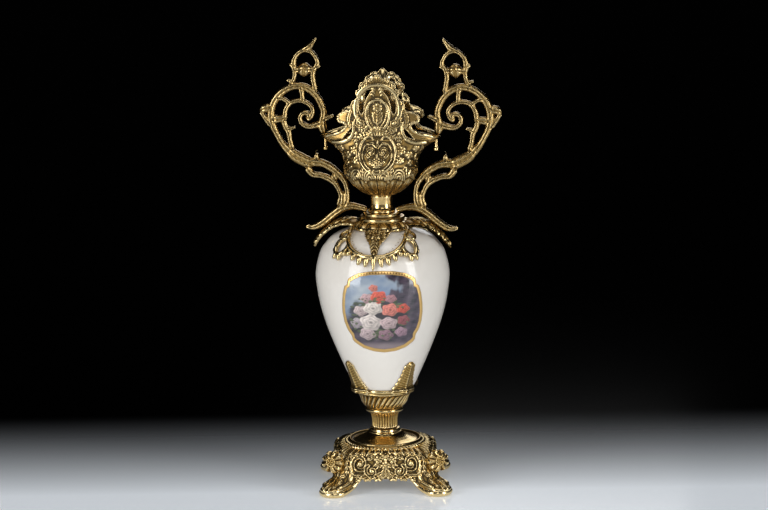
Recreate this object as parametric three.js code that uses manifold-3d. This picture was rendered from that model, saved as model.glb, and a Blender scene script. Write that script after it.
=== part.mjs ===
// A tall ornamental vase of gilt cast brass and white porcelain, in millimetres, +Z up.
// The origin is the middle of the feet, on the ground. The front of the vase faces -Y.
// From the ground up: a square pierced foot, a turned pedestal, a fluted stem, a leaf-pronged calyx,
// the hollow porcelain body, a leafy shoulder mount, a neck, an oval cup with two crests, and two
// openwork scroll handles that stand on the cup's lips and lean on the neck.
import * as THREE from "three";
import { mergeVertices } from "three/addons/utils/BufferGeometryUtils.js";
import Module from "manifold-3d";

const wasm = await Module();
wasm.setup();

// Driving dimensions
const GAP = 0.35; // clearance between pieces that touch
const WELD = 1e-4; // vertices closer than this are one
const UPPER_TURN = THREE.MathUtils.degToRad(-8); // everything above the stem stands a little turned

// Foot
const FOOT_DECK = 53.4; // top of the deck inside the dish
const FOOT_RIM_RADIUS = 41.2; // inside of the dish rim
const FOOT_WALL = 4.6;
const FOOT_SKIRT = 14; // lowest edge of the skirt between the feet
const FOOT_SCALLOP = 3; // depth of the skirt's scallops
const FOOT_SCALLOP_PITCH = 18;
const FOOT_SQUARE = 4.6; // power of the rounded square in plan: 2 is a circle
const FOOT_ROUND_FROM = 50; // above this height the plan is a circle
const FOOT_SQUARE_FROM = 41; // below this height the plan is square
const FOOT_PANEL = 59; // distance of the side panels from the axis
const CORNER_ROSETTE = { reach: 89, height: 38, radius: 13.6 };
const TOE_HALF_WIDTH = 13;
const TOE_SOLE = { reach: 92.6, halves: [15, 15, 7] };
const GROUND_SIDE = 400; // a block under z 0 that cuts the toes flat
const GROUND_DEPTH = 40;

// Pedestal and stem
const PEDESTAL_TOP = 69;
const STEM = {
  bottom: 69.4,
  waist: 78,
  top: 88,
  radius: 15.6,
  topRadius: 18,
  flutes: 28,
  depth: 1.3,
};
const STEM_RING = { bottom: 89, top: 94.2, radius: 23.3 };

// Calyx
const CALYX = {
  bottom: 94.6,
  top: 121,
  gadroons: 28,
  depth: 1.4,
  twist: THREE.MathUtils.degToRad(22),
};
const PRONG = {
  bottom: 117,
  top: 158,
  thickness: 4.4,
  rootRadius: 32.6,
  flangeRadius: 41.5,
  halfAngle: THREE.MathUtils.degToRad(23),
};

// Porcelain body: half-section from the foot ring to the mouth
const BODY_BOTTOM = 121.4;
const BODY_TOP = 318;
const MOUTH_RADIUS = 22;
const BODY_PROFILE = [
  [38.6, 125.2], [50.4, 151.8], [60.6, 176.3], [69.6, 200.8], [76.2, 225.3], [80.2, 252], [79.6, 268],
  [74.4, 286.5], [68, 296], [61, 303.6], [50, 309.8], [30, 316],
];

// Shoulder mount
const MOUNT = { rim: 37, rimBottom: 314.8, lobes: 12, lobeDepth: 1.6 };
const MOUNT_RINGS = [
  { radius: 27.6, bottom: 324.4, top: 329.2 },
  { radius: 22.8, bottom: 329.2, top: 334 },
];
const SIDE_LEAF = { thickness: 3.6, halfWidth: 15 };
const PENDANT_LIFT = 2.1; // clearance of the pendants over the porcelain
const PENDANT_THICKNESS = 3.4;

// Neck and cup
const NECK = { bottom: 334.4, top: 354.4 };
const CUP_BOTTOM = 354.8;
const CUP_WALL = 3.6;
const CUP_FLOOR = 364;
const CUP_LOBES = 16;
const CUP_LOBE_DEPTH = 1.8;
const CUP_LOBE_TOP = 392;
const CUP_CUT_TOP = 520;
const CUP_CUT_DEPTH = 60; // the cup's outline and holes are cut this far to front and back
// Rows of the oval cup: height, half-width and half-depth in plan
const CUP_ROWS = [
  [354.8, 15, 15], [360, 25, 25], [366.1, 33, 32.5], [372.3, 38.6, 37.5], [384.5, 43.2, 41],
  [396.7, 43.8, 40], [402.8, 45.6, 37.5], [409, 49.2, 35], [415, 57, 31.5], [421.5, 68, 29], [430, 72, 27], [510, 70, 25],
];

// Handles
const HANDLE_DEPTH = 4.2; // half-thickness across the plane of a handle
const PIN = { reach: 66.6, radius: 1.8, bottom: 408.5, top: 419.4 };

// Rows of numbers to a value at a height, in straight lines between the rows
function rowValue(rows, height, column) {
  const last = rows.length - 1;
  if (height <= rows[0][0]) return rows[0][column];
  if (height >= rows[last][0]) return rows[last][column];
  const upper = rows.findIndex((row) => row[0] > height);
  const [low, high] = [rows[upper - 1], rows[upper]];
  return THREE.MathUtils.mapLinear(height, low[0], high[0], low[column], high[column]);
}

// A closed geometry as a solid
function toSolid(geometry) {
  const bare = geometry.clone();
  bare.deleteAttribute("normal");
  bare.deleteAttribute("uv");
  const merged = mergeVertices(bare, WELD);
  const triVerts = new Uint32Array(merged.index.array);
  return new wasm.Manifold(
    new wasm.Mesh({ numProp: 3, vertProperties: merged.attributes.position.array, triVerts }),
  );
}

function toGeometry(solid) {
  const mesh = solid.getMesh();
  const geometry = new THREE.BufferGeometry();
  geometry.setAttribute("position", new THREE.BufferAttribute(mesh.vertProperties, 3));
  geometry.setIndex(new THREE.BufferAttribute(mesh.triVerts, 1));
  geometry.computeVertexNormals();
  return geometry;
}

const join = (solids) => solids.reduce((whole, next) => whole.add(next));

// One casting: what is joined, without the sealed pockets left between the strokes
function casting(solids) {
  const bodies = join(solids).decompose();
  return bodies.reduce((largest, body) => (body.volume() > largest.volume() ? body : largest));
}

// Moves each vertex to where place(vertex) puts it
function reshape(geometry, place) {
  const position = geometry.attributes.position;
  const vertex = new THREE.Vector3();
  for (let i = 0; i < position.count; i += 1) {
    vertex.fromBufferAttribute(position, i);
    place(vertex);
    position.setXYZ(i, vertex.x, vertex.y, vertex.z);
  }
  return geometry;
}

// A turned form: profile points [radius, height] from the bottom of the axis to its top
function turned(profile, segments) {
  const points = profile.map(([radius, height]) => new THREE.Vector2(radius, height));
  return new THREE.LatheGeometry(points, segments).rotateX(Math.PI / 2);
}

const turnedSolid = (profile, segments) => toSolid(turned(profile, segments));

// A bar of changing width that follows points [u, v, halfWidth] on a sheet. The sheet's place(u, v, h)
// gives the point in space that lies h off the sheet, and the bar is `depth` thick either way of it.
// Its section is a box, or round with `sides` sides.
function bar(points, depth, place, { sides = 4, steps = points.length - 1, closed = false } = {}) {
  const path = new THREE.CatmullRomCurve3(points.map(([u, v, w]) => new THREE.Vector3(u, v, w)), closed);
  if (closed) return closedBar(path, depth, place, sides, steps);
  const blank =
    sides > 4
      ? new THREE.CylinderGeometry(1, 1, 1, sides, steps)
      : new THREE.BoxGeometry(2, 1, 2, 1, steps, 1);
  return toSolid(reshape(blank, (vertex) => alongPath(vertex, path, vertex.y + 0.5, depth, place)));
}

// A ring-shaped bar
function closedBar(path, depth, place, sides, steps) {
  const ringRadius = 2;
  const turn = 2 * Math.PI;
  const blank = new THREE.TorusGeometry(ringRadius, 1, sides, steps);
  return toSolid(
    reshape(blank, (vertex) => {
      const t = (Math.atan2(vertex.y, vertex.x) / turn + 1) % 1;
      const out = Math.hypot(vertex.x, vertex.y) - ringRadius;
      vertex.set(out, 0, vertex.z);
      alongPath(vertex, path, t, depth, place);
    }),
  );
}

function alongPath(vertex, path, t, depth, place) {
  const centre = path.getPoint(t);
  const tangent = path.getTangent(t).setZ(0).normalize();
  const across = vertex.x * centre.z;
  const point = place(centre.x + tangent.y * across, centre.y - tangent.x * across, vertex.z * depth);
  vertex.copy(point);
}

// A ball squashed to three half-sizes
function pebble(centre, halves, segments = 8) {
  const ball = new THREE.SphereGeometry(1, segments, Math.max(4, segments - 2)).rotateX(Math.PI / 2);
  return toSolid(ball.scale(...halves).translate(...centre));
}

// A solid and its copies turned about the axis
const aroundAxis = (solid, angles) => join(angles.map((angle) => solid.rotate([0, 0, angle])));
const SIDES = [0, 90, 180, 270];
const FRONT_AND_BACK = [0, 180];

// Extrudes an outline of points [x, z] right through the piece along Y
function through(outline, halfDepth) {
  const shape = new THREE.Shape(outline.map(([x, z]) => new THREE.Vector2(x, z)));
  const blank = new THREE.ExtrudeGeometry(shape, { depth: 2 * halfDepth, bevelEnabled: false });
  return toSolid(blank.rotateX(Math.PI / 2).translate(0, halfDepth, 0));
}

const mirrored = (outline) => outline.map(([x, z]) => [-x, z]).reverse();

// The square foot: a hollow skirt with scalloped edges, four scroll toes and a rosette on each front corner
function makeFoot() {
  const plan = (vertex) => {
    const square = THREE.MathUtils.mapLinear(vertex.z, FOOT_ROUND_FROM, FOOT_SQUARE_FROM, 2, FOOT_SQUARE);
    const power = THREE.MathUtils.clamp(square, 2, FOOT_SQUARE);
    const reach = Math.hypot(vertex.x, vertex.y);
    if (reach < WELD) return;
    const [c, s] = [Math.abs(vertex.x) / reach, Math.abs(vertex.y) / reach];
    const stretch = 1 / Math.pow(Math.pow(c, power) + Math.pow(s, power), 1 / power);
    vertex.x *= stretch;
    vertex.y *= stretch;
  };
  const scallop = (vertex) => {
    if (vertex.z > FOOT_SKIRT || Math.hypot(vertex.x, vertex.y) < FOOT_SKIRT) return;
    const along = Math.min(Math.abs(vertex.x), Math.abs(vertex.y));
    vertex.z += FOOT_SCALLOP * (1 - Math.abs(Math.cos((Math.PI * along) / FOOT_SCALLOP_PITCH)));
  };
  const outside = turned(
    [
      [0, FOOT_SKIRT], [57, FOOT_SKIRT], [FOOT_PANEL, 28], [FOOT_PANEL, 41], [53, 50], [46.4, 50.6],
      [46.4, 53.4],
      [43.4, 56.4], [FOOT_RIM_RADIUS - 0.4, FOOT_DECK], [0, FOOT_DECK],
    ],
    32,
  );
  reshape(outside, (vertex) => {
    plan(vertex);
    scallop(vertex);
  });
  const hollowTop = FOOT_DECK - FOOT_WALL;
  const inside = turned(
    [[0, 4], [52, 4], [FOOT_PANEL - FOOT_WALL, 32], [48, hollowTop - 4], [38, hollowTop],
    [0, hollowTop]],
    20,
  );
  const shell = toSolid(outside).subtract(toSolid(reshape(inside, plan)));

  const diagonal = (u, v, h) =>
    new THREE.Vector3(u - h, -u - h, v * Math.SQRT2).multiplyScalar(Math.SQRT1_2);
  const toe = bar(
    [[64, 40, 6], [76, 30, 7], [80, 20, 7], [88, 10, 8], [97, 3, 6]],
    TOE_HALF_WIDTH,
    diagonal,
    { sides: 6, steps: 5 },
  );
  const rosetteSide = CORNER_ROSETTE.reach * Math.SQRT1_2;
  const rosette = pebble([0, 0, 0], [CORNER_ROSETTE.radius, CORNER_ROSETTE.radius * 0.8, 14.5], 6)
    .rotate([0, 0, 45])
    .translate([rosetteSide, -rosetteSide, CORNER_ROSETTE.height]);
  const soleSide = TOE_SOLE.reach * Math.SQRT1_2;
  const sole = pebble([soleSide, -soleSide, 0], TOE_SOLE.halves, 12);
  const wing = bar([[64, 3, 5], [46, 6, 5], [31, 14, 3.4]], 5, (u, v, h) => {
    const reach = THREE.MathUtils.mapLinear(u, 31, 66, 56, 76);
    return new THREE.Vector3(u, -reach - h, v);
  });
  const otherWing = wing.mirror([1, 1, 0]);
  const toes = aroundAxis(join([toe, sole, wing, otherWing]), SIDES);
  const corners = join([toes, rosette, rosette.mirror([1, 0, 0])]);

  // Relief of one side panel: a bouquet between two C-scrolls
  const panel = (u, v, h) => new THREE.Vector3(u, -FOOT_PANEL - 0.6 - h, v);
  const bouquet = pebble([0, -FOOT_PANEL, 31], [14, 5, 12], 6);
  const scroll = bar(
    [[15, 25, 2], [22, 20, 2.4], [32, 24, 2.6], [36, 34, 2.6], [30, 42, 2.4], [22, 39, 2]],
    3, panel,
  );
  const relief = aroundAxis(join([bouquet, scroll, scroll.mirror([1, 0, 0])]), SIDES);

  const ground = new THREE.BoxGeometry(GROUND_SIDE, GROUND_SIDE, GROUND_DEPTH);
  ground.translate(0, 0, -GROUND_DEPTH / 2);
  return casting([shell, corners, relief]).subtract(toSolid(ground));
}

function makePedestal() {
  return turnedSolid(
    [
      [0, FOOT_DECK + GAP], [38.6, FOOT_DECK + GAP], [34, 55.8], [28, 58], [22, 60.6], [18.4, 63.4],
      [18.4, PEDESTAL_TOP], [0, PEDESTAL_TOP],
    ],
    28,
  );
}

// A reeded column under a plain ring: every second vertex of the column is sunk
function makeStem() {
  const column = turned(
    [[0, STEM.bottom], [STEM.radius, STEM.bottom], [STEM.radius - 0.2, STEM.waist],
    [STEM.topRadius, STEM.top],
      [STEM.topRadius, STEM_RING.bottom + 1], [0, STEM_RING.bottom + 1]],
    2 * STEM.flutes,
  );
  reshape(column, (vertex) => {
    const reach = Math.hypot(vertex.x, vertex.y);
    if (reach < WELD) return;
    const phase = Math.cos(STEM.flutes * Math.atan2(vertex.x, vertex.y));
    const scale = 1 + (STEM.depth * (phase - 1)) / 2 / reach;
    vertex.x *= scale;
    vertex.y *= scale;
  });
  const { bottom, top, radius } = STEM_RING;
  const ring = turnedSolid(
    [[0, bottom], [radius - 1.6, bottom], [radius, bottom + 1.6], [radius, top - 1.6],
    [radius - 1.6, top], [0, top]],
    28,
  );
  return toSolid(column).add(ring);
}

// The calyx: a cup of slanting gadroons under a rim band, with four leaf prongs that hold the body
function makeCalyx() {
  const cup = turned(
    [[0, CALYX.bottom], [21, CALYX.bottom], [27.6, 100], [29.6, 107], [33.2, 113.4], [34.4, CALYX.top],
      [0, CALYX.top]],
    2 * CALYX.gadroons,
  );
  reshape(cup, (vertex) => {
    const reach = Math.hypot(vertex.x, vertex.y);
    if (reach < WELD) return;
    const rise = THREE.MathUtils.clamp((vertex.z - CALYX.bottom) / (113.3 - CALYX.bottom), 0, 1);
    const twist = CALYX.twist * rise;
    const sunk = vertex.z > CALYX.bottom + 1 && vertex.z < 112;
    const phase = Math.cos(CALYX.gadroons * Math.atan2(vertex.x, vertex.y));
    const scale = sunk ? 1 + (CALYX.depth * (phase - 1)) / 2 / reach : 1;
    vertex.multiply(new THREE.Vector3(scale, scale, 1)).applyAxisAngle(new THREE.Vector3(0, 0, 1), twist);
  });
  // Half-angle of the leaf at a height above its foot, from broad flange to rounded tip
  const spread = [[0, 1], [0.12, 0.96], [0.3, 0.72], [0.55, 0.44], [0.8, 0.32], [1, 0.12]];
  const blank = new THREE.BoxGeometry(2, 1, 1, 4, 1, 5);
  reshape(blank, (vertex) => {
    const rise = vertex.z + 0.5;
    const height = THREE.MathUtils.lerp(PRONG.bottom, PRONG.top, rise);
    const rib = 1.2 * (1 - Math.abs(vertex.x));
    const inner = rise < 0.1 ? PRONG.rootRadius : bodyRadius(height) + GAP + 0.3;
    const leafOuter = inner + PRONG.thickness * (1 - 0.45 * rise) + rib;
    const flangeOuter = PRONG.flangeRadius - 60 * Math.max(0, 0.05 - rise);
    const outer = Math.max(leafOuter, flangeOuter);
    const angle = vertex.x * PRONG.halfAngle * rowValue(spread, rise, 1);
    const reach = vertex.y > 0 ? outer : inner;
    vertex.set(Math.sin(angle) * reach, Math.cos(angle) * reach, height);
  });
  const prongs = aroundAxis(toSolid(blank), SIDES.map((side) => side + 45));
  return toSolid(cup).add(prongs);
}

// Outer radius of the porcelain at a height
function bodyRadius(height) {
  return rowValue(BODY_PROFILE.map(([radius, z]) => [z, radius]), height, 1);
}

// Height of the porcelain's shoulder at a radius
function shoulderHeight(radius) {
  const shoulder = BODY_PROFILE.slice(6).reverse();
  return rowValue(shoulder, radius, 1);
}

// The porcelain body, hollow and open at the mouth
function makeBody() {
  const inner = [[46, 305], [62, 295], [73.5, 276], [75, 252], [64.6, 200.8], [30, 127]];
  const outer = [[0, BODY_BOTTOM], [35, BODY_BOTTOM], ...BODY_PROFILE];
  const mouth = [[MOUTH_RADIUS + 1, BODY_TOP], [MOUTH_RADIUS, BODY_TOP - 1], [MOUTH_RADIUS, 312]];
  return turnedSolid([...outer, ...mouth, ...inner, [0, 127]], 26);
}

// A lobed dome under two rings, two leaves down the sides and a garland front and back
function makeMount() {
  const underside = [[0, BODY_TOP + 1.4], [26, BODY_TOP + 1.2], [MOUNT.rim - 3, MOUNT.rimBottom + 0.6]];
  const dome = turned(
    [...underside, [MOUNT.rim, MOUNT.rimBottom], [MOUNT.rim, 317.4], [28, 324.8], [0, 325.4]],
    2 * MOUNT.lobes,
  );
  reshape(dome, (vertex) => {
    const reach = Math.hypot(vertex.x, vertex.y);
    if (reach < 30) return;
    const lobe = Math.abs(Math.sin((MOUNT.lobes * Math.atan2(vertex.x, vertex.y)) / 2));
    const scale = 1 + (MOUNT.lobeDepth * (lobe - 0.6)) / reach;
    vertex.x *= scale;
    vertex.y *= scale;
  });
  const rings = MOUNT_RINGS.map(({ radius, bottom, top }) =>
    turnedSolid(
      [[0, bottom], [radius - 1, bottom], [radius, (bottom + top) / 2], [radius - 1, top], [0, top]],
      24,
    ),
  );
  return casting([toSolid(dome), ...rings, ...sideLeaves(), aroundAxis(garland(), FRONT_AND_BACK)]);
}

// Broad leaves that arch over the shoulder at either side and end in a turned-down tip
function sideLeaves() {
  const spine = new THREE.CatmullRomCurve3(
    [[30, 320], [49.8, 319.2], [58, 315.6], [66, 309], [72.6, 302], [77.4, 294.6], [79.4, 289.6]].map(
      ([reach, z]) => new THREE.Vector3(reach, 0, z),
    ),
  );
  const widths = [[0, 1], [0.35, 0.95], [0.6, 0.7], [0.85, 0.4], [1, 0.1]];
  const blank = new THREE.BoxGeometry(1, 2, 1, 6, 2, 1);
  reshape(blank, (vertex) => {
    const t = vertex.x + 0.5;
    const centre = spine.getPoint(t);
    const tangent = spine.getTangent(t);
    const lift = vertex.z * SIDE_LEAF.thickness + 1.4 * (1 - Math.abs(vertex.y)) * (vertex.z > 0 ? 1 : 0);
    const droop = 3.4 * vertex.y * vertex.y * (1 - t);
    vertex.set(
      centre.x - tangent.z * lift,
      vertex.y * SIDE_LEAF.halfWidth * rowValue(widths, t, 1),
      centre.z + tangent.x * lift - droop,
    );
  });
  const leaf = toSolid(blank);
  return [leaf, leaf.mirror([1, 0, 0])];
}

// The front garland, laid on the porcelain: a point of the sheet is [x, distance from the axis plane]
function garland() {
  const laid = (x, y, h) => {
    const reach = Math.hypot(x, y);
    const slope = shoulderHeight(reach + 0.5) - shoulderHeight(reach - 0.5);
    const normal = new THREE.Vector3((slope * x) / reach, (slope * y) / reach, 1).normalize();
    const height = h + PENDANT_LIFT + PENDANT_THICKNESS / 2;
    return new THREE.Vector3(-x, -y, shoulderHeight(reach)).addScaledVector(normal, height);
  };
  const half = PENDANT_THICKNESS / 2;
  const crescent = bar(
    [[-31, 12, 2.6], [-34, 26, 2.2], [-32, 42, 2.2], [-22, 58, 2.4], [0, 67.5, 2.6], [22, 58, 2.4],
    [32, 42, 2.2],
      [34, 26, 2.2], [31, 12, 2.6]],
    half, laid, { steps: 10 },
  );
  const loop = bar(
    [[-32, 46, 2], [-40, 44, 2], [-45, 50, 2], [-42, 58, 2], [-34, 59, 2], [-28, 54, 2]],
    half, laid,
  );
  const clump = bar([[0, 30, 14], [0, 44, 12], [0, 52, 7], [0, 67, 1.5]], half, laid);
  const fringe = [[-27, 60, -38, 68], [-17, 62, -21, 72], [-6, 66, -8, 75], [0, 66, 0, 77.5]].flatMap(
    ([x, y, tipX, tipY]) => {
      const leaf = bar([[x, y, 2.6], [tipX, tipY, 0.5]], half * 0.8, laid);
      return x === 0 ? [leaf] : [leaf, leaf.mirror([1, 0, 0])];
    },
  );
  return join([crescent, loop, loop.mirror([1, 0, 0]), clump, ...fringe]);
}

function makeNeck() {
  const { bottom, top } = NECK;
  return turnedSolid(
    [[0, bottom], [16.3, bottom], [16, bottom + 1.6], [13.6, bottom + 5], [13.2, bottom + 10],
    [14.2, top], [0, top]],
    24,
  );
}

// The oval cup with its two crests: the wall is cut to the crest's outline and pierced
function makeCup() {
  const oval = (inset) => (vertex) => {
    const [halfWidth, halfDepth] = [rowValue(CUP_ROWS, vertex.z, 1), rowValue(CUP_ROWS, vertex.z, 2)];
    const reach = Math.hypot(vertex.x, vertex.y);
    if (reach < WELD) return;
    vertex.y *= (halfDepth - inset) / (halfWidth - inset);
  };
  const outside = turned([[0, CUP_BOTTOM], ...CUP_ROWS.map(([z, halfWidth]) => [halfWidth, z]), [0, 510]],
    2 * CUP_LOBES);
  reshape(outside, (vertex) => {
    const reach = Math.hypot(vertex.x, vertex.y);
    const lobe = Math.abs(Math.sin((CUP_LOBES * Math.atan2(vertex.x, vertex.y)) / 2));
    oval(0)(vertex);
    if (reach < 20 || vertex.z > CUP_LOBE_TOP) return;
    const scale = 1 + (CUP_LOBE_DEPTH * (lobe - 1)) / reach;
    vertex.x *= scale;
    vertex.y *= scale;
  });
  const innerRows = CUP_ROWS.filter(([z], i) => z > CUP_FLOOR + 3 && i % 2 === 1);
  const innerProfile = innerRows.map(([z, halfWidth]) => [halfWidth - CUP_WALL, z]);
  const inside = turned(
    [[0, CUP_FLOOR], [22, CUP_FLOOR], ...innerProfile, [0, CUP_CUT_TOP]],
    16,
  );
  const shell = toSolid(outside).subtract(toSolid(reshape(inside, oval(CUP_WALL))));

  // Outline of one half of the crest and lip, from the peak down
  const half = [
    [4, 500.5], [7, 497.6], [13, 497.8], [16, 494.5], [20.5, 490.5], [21.5, 486], [25.5, 481],
    [23.5, 477],
    [26, 473], [30, 470], [31.5, 466], [32, 460], [37, 457.5], [43, 456.5], [47, 454], [48.4, 450],
    [46, 446],
    [41.5, 445.4], [38.6, 444], [38, 441], [40, 437.5], [44, 434], [50, 431.2], [58, 429.4], [64, 427],
    [69, 425.8], [75, 425.8], [75, 350],
  ];
  const outline = through([[0, 502.5], ...half, ...mirrored(half)], CUP_CUT_DEPTH);
  const crescentHole = [
    [8, 485], [14, 484.6], [19.5, 478], [22, 467], [21, 459.5], [17.5, 458], [15.5, 465], [13, 474], [9, 481],
  ];
  const wedgeHole = [[31, 437], [32, 433], [37, 428], [43, 425.4], [39, 431], [34, 436]];
  const holes = [crescentHole, mirrored(crescentHole), wedgeHole, mirrored(wedgeHole)].map((hole) =>
    through(hole, CUP_CUT_DEPTH),
  );
  const pierced = holes.reduce((rest, hole) => rest.subtract(hole), shell.intersect(outline));
  return casting([pierced, aroundAxis(cupRelief(), FRONT_AND_BACK)]);
}

// Raised frames of one face of the cup: an oval medallion under an arch, and a cartouche below
function cupRelief() {
  const face = (x, z, h) => {
    const [halfWidth, halfDepth] = [rowValue(CUP_ROWS, z, 1), rowValue(CUP_ROWS, z, 2)];
    const y = halfDepth * Math.sqrt(Math.max(0.02, 1 - (x / halfWidth) ** 2));
    return new THREE.Vector3(x, -y - h, z);
  };
  const oval = (centre, rx, ry, count, taper) =>
    Array.from({ length: count }, (_, i) => {
      const angle = (2 * Math.PI * i) / count;
      const narrow = 1 + taper * Math.sin(angle);
      return [rx * narrow * Math.cos(angle), centre + ry * Math.sin(angle), 1.8];
    });
  const medallion = bar(oval(457, 11.6, 16, 8, 0), 2.2, face, { steps: 10, closed: true });
  const boss = pebble([0, -26, 457], [9, 3.4, 13], 6);
  const arch = bar(
    [[-20, 447, 3], [-25, 454, 2.4], [-25, 466, 2.2], [-20, 480, 2.2], [0, 490, 2.4], [20, 480, 2.2],
      [25, 466, 2.2], [25, 454, 2.4], [20, 447, 3]],
    2.4, face, { steps: 8 },
  );
  const cartouche = bar(oval(409, 20, 20, 8, 0.16), 2.4, face, { steps: 10, closed: true });
  const palmette = pebble([0, -35.5, 407], [11, 3, 13], 6);
  return join([medallion, boss, arch, cartouche, palmette]);
}

// One openwork handle at the -X side, in the XZ plane. A stroke is a row of points [distance from the
// axis, height, half-width].
const HANDLE_STROKES = {
  outerArc: [
    [70.9, 441, 4], [68.5, 452.8, 3.5], [70.9, 462.5, 3.6], [76.4, 472.9, 3.8], [84.8, 480.8, 3.9],
    [95.2, 485, 3.8],
    [106.1, 484, 3.7], [117, 478.6, 4], [125.5, 470, 4.2], [130.5, 459.4, 4.2], [132, 447.6, 4.2],
    [129.8, 436.6, 3.8],
    [124.6, 425.4, 3.3], [118.2, 414.6, 3.7], [109.4, 404.6, 5],
  ],
  lowerStem: [[113, 408.5, 4.5], [104.8, 401.2, 6.2], [94, 395.2, 6.6], [83, 390.4, 6]],
  upperBranch: [
    [91.5, 392.6, 4.8], [81, 393, 4.8], [70.2, 391.4, 4.1], [60, 386, 4.1], [51, 378.5, 3.6],
    [44.2, 369, 2.9],
    [41.4, 358, 2.6], [42, 347, 3], [45.5, 338.8, 4.2],
  ],
  lowerBranch: [
    [90, 388, 4.8], [83, 378.6, 3.5], [73.3, 377, 3], [63.6, 373.4, 3.4], [56.2, 367.8, 3.1],
    [51.5, 359.8, 2.6],
    [49.2, 350.5, 2.9], [52, 339.5, 4.2],
  ],
  crossbar: [[58.5, 380, 3], [54.5, 370.5, 3]],
  sole: [[45.6, 358, 3.6], [45.6, 348.6, 4.8], [47.9, 338, 6]],
  arm: [[48, 337.8, 4.3], [38.2, 338.2, 3.8], [28.5, 338.4, 3.2], [17.2, 338.2, 2.9]],
  foot: [
    [48, 336.4, 4.8], [57.6, 330.8, 4.6], [67.9, 322.2, 4.3], [77, 316.2, 4], [85.5, 313.6, 2.8],
    [92.6, 315.4, 1.7],
  ],
  knob: [[77.6, 396, 4], [78.2, 402.6, 3.1], [78.2, 409, 2.6]],
  innerBranch: [
    [106.1, 408, 3.1], [109.3, 419, 2.6], [110.8, 428.6, 3.1], [115, 437.2, 3.1], [116.4, 445, 3.2],
  ],
  thorn: [[112.1, 431.6, 2.6], [107.3, 434, 1.9], [101.8, 435.7, 0.9]],
  bridge: [[130.3, 444.6, 4.8], [122, 445, 4], [114, 446.4, 3.4]],
  innerArc: [
    [115.4, 444, 2.9], [114.4, 455, 2.8], [109, 464, 2.7], [100, 467.4, 2.4], [91, 466, 2.4],
    [84.1, 461.2, 2.4],
    [81.3, 454.4, 2.4], [84, 447.6, 2.6], [90, 446, 4.4],
  ],
  volute: [[70.9, 442.4, 3.4], [79.4, 438.3, 3], [87.9, 436.8, 2.6], [94.8, 440, 2.4], [97, 446.6, 2.4],
    [93.2, 451.8, 2.4], [87, 451.6, 2.4], [85.6, 446.6, 3]],
  archLink: [[95.2, 483.8, 3.6], [94, 476, 2.7], [93.4, 467, 2.8]],
  sideLink: [[124.2, 470.9, 3.6], [117, 469.4, 2.1], [109.7, 464.2, 2.5]],
  lipFoot: [[69.9, 447, 4], [70.2, 437, 5], [68.8, 431, 4.2], [68, 427.2, 3.4]],
  spur: [[68.5, 444.4, 2.9], [62.2, 447.6, 2.4], [55.8, 450, 1.4]],
  tipTop: [[131, 460, 3.8], [139.5, 457.6, 4.6], [146, 455.4, 1.9]],
  tipBelow: [[145, 454.6, 2], [139, 446, 2.6], [132.4, 436.6, 3]],
  finialOutside: [
    [108, 486.6, 2.8], [103.4, 494, 2.5], [102.4, 502.8, 2.6], [103.6, 509.6, 3.2],
    [102.2, 518.2, 2.7], [97.2, 525, 2.5], [90.3, 528.4, 2.4], [82, 526.2, 2.4], [76.8, 519.6, 2.2],
    [74.6, 512.6, 2.7], [79, 504.8, 2.8], [80.6, 496.6, 2.6], [78.2, 488.6, 2.5], [72.6, 481, 2],
  ],
  finialBud: [[91, 494.6, 4], [90.9, 502, 6.8], [89.4, 509.6, 6.2], [88, 513.6, 3.2]],
  finialBar: [[102.6, 503.6, 2.8], [90.3, 505.6, 3.4], [78.4, 504.4, 2.8]],
  earOutside: [[102.4, 509.4, 3], [109.4, 512, 1.9]],
  earInside: [[76.4, 508.4, 3], [70.8, 510, 1.2]],
  twig: [[103, 489.6, 2.2], [108.2, 491.4, 1.7], [113.4, 491.8, 1]],
  flame: [[93.4, 527.6, 2.2], [85.4, 531.4, 3.8], [80, 537.4, 2.3], [75.2, 544, 0.9]],
};

function makeHandle() {
  const plane = (u, v, h) => new THREE.Vector3(-u, h, v);
  return casting(Object.values(HANDLE_STROKES).map((stroke) => bar(stroke, HANDLE_DEPTH, plane)));
}

// A vertical pin that holds a handle's foot from under the lip
function makePin(side) {
  const { reach, radius, bottom, top } = PIN;
  const shank = [[0, bottom], [radius * 0.6, bottom], [radius, bottom + 1], [radius, top], [0, top]];
  return turnedSolid(shank, 8).translate([side * reach, 0, 0]);
}

// Finishes
const finish = (color, roughness, metalness) =>
  new THREE.MeshStandardMaterial({ color, roughness, metalness });
const giltBrass = () => finish(0xb8923f, 0.32, 1);
const polishedBrass = () => finish(0xc79a45, 0.16, 1);
const porcelain = () => finish(0xf1ede2, 0.12, 0);

function piece(name, solid, material) {
  const mesh = new THREE.Mesh(toGeometry(solid), material);
  mesh.name = name;
  return mesh;
}

const vase = new THREE.Group();
vase.add(
  piece("base_foot", makeFoot(), giltBrass()),
  piece("pedestal", makePedestal(), polishedBrass()),
  piece("fluted_stem", makeStem(), giltBrass()),
);

const upper = new THREE.Group();
upper.rotation.z = UPPER_TURN;
const handle = makeHandle();
upper.add(
  piece("calyx", makeCalyx(), giltBrass()),
  piece("porcelain_body", makeBody(), porcelain()),
  piece("shoulder_mount", makeMount(), giltBrass()),
  piece("neck", makeNeck(), polishedBrass()),
  piece("cup", makeCup(), giltBrass()),
  piece("handle_left", handle, giltBrass()),
  piece("handle_right", handle.mirror([1, 0, 0]), giltBrass()),
  piece("handle_pin_left", makePin(-1), polishedBrass()),
  piece("handle_pin_right", makePin(1), polishedBrass()),
);
vase.add(upper);

export default vase;
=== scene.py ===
"""A tall vase of gilt cast brass and white porcelain, standing on a pale floor.

Sizes are in millimetres, +Z up, with the front of the vase towards -Y, and become metres when a mesh is
made. Everything above the stem is built square to the axes and then turned by UPPER_TURN.
"""

import logging
import math
from dataclasses import dataclass, field
from enum import Enum
from typing import Callable, Sequence, Union

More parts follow.
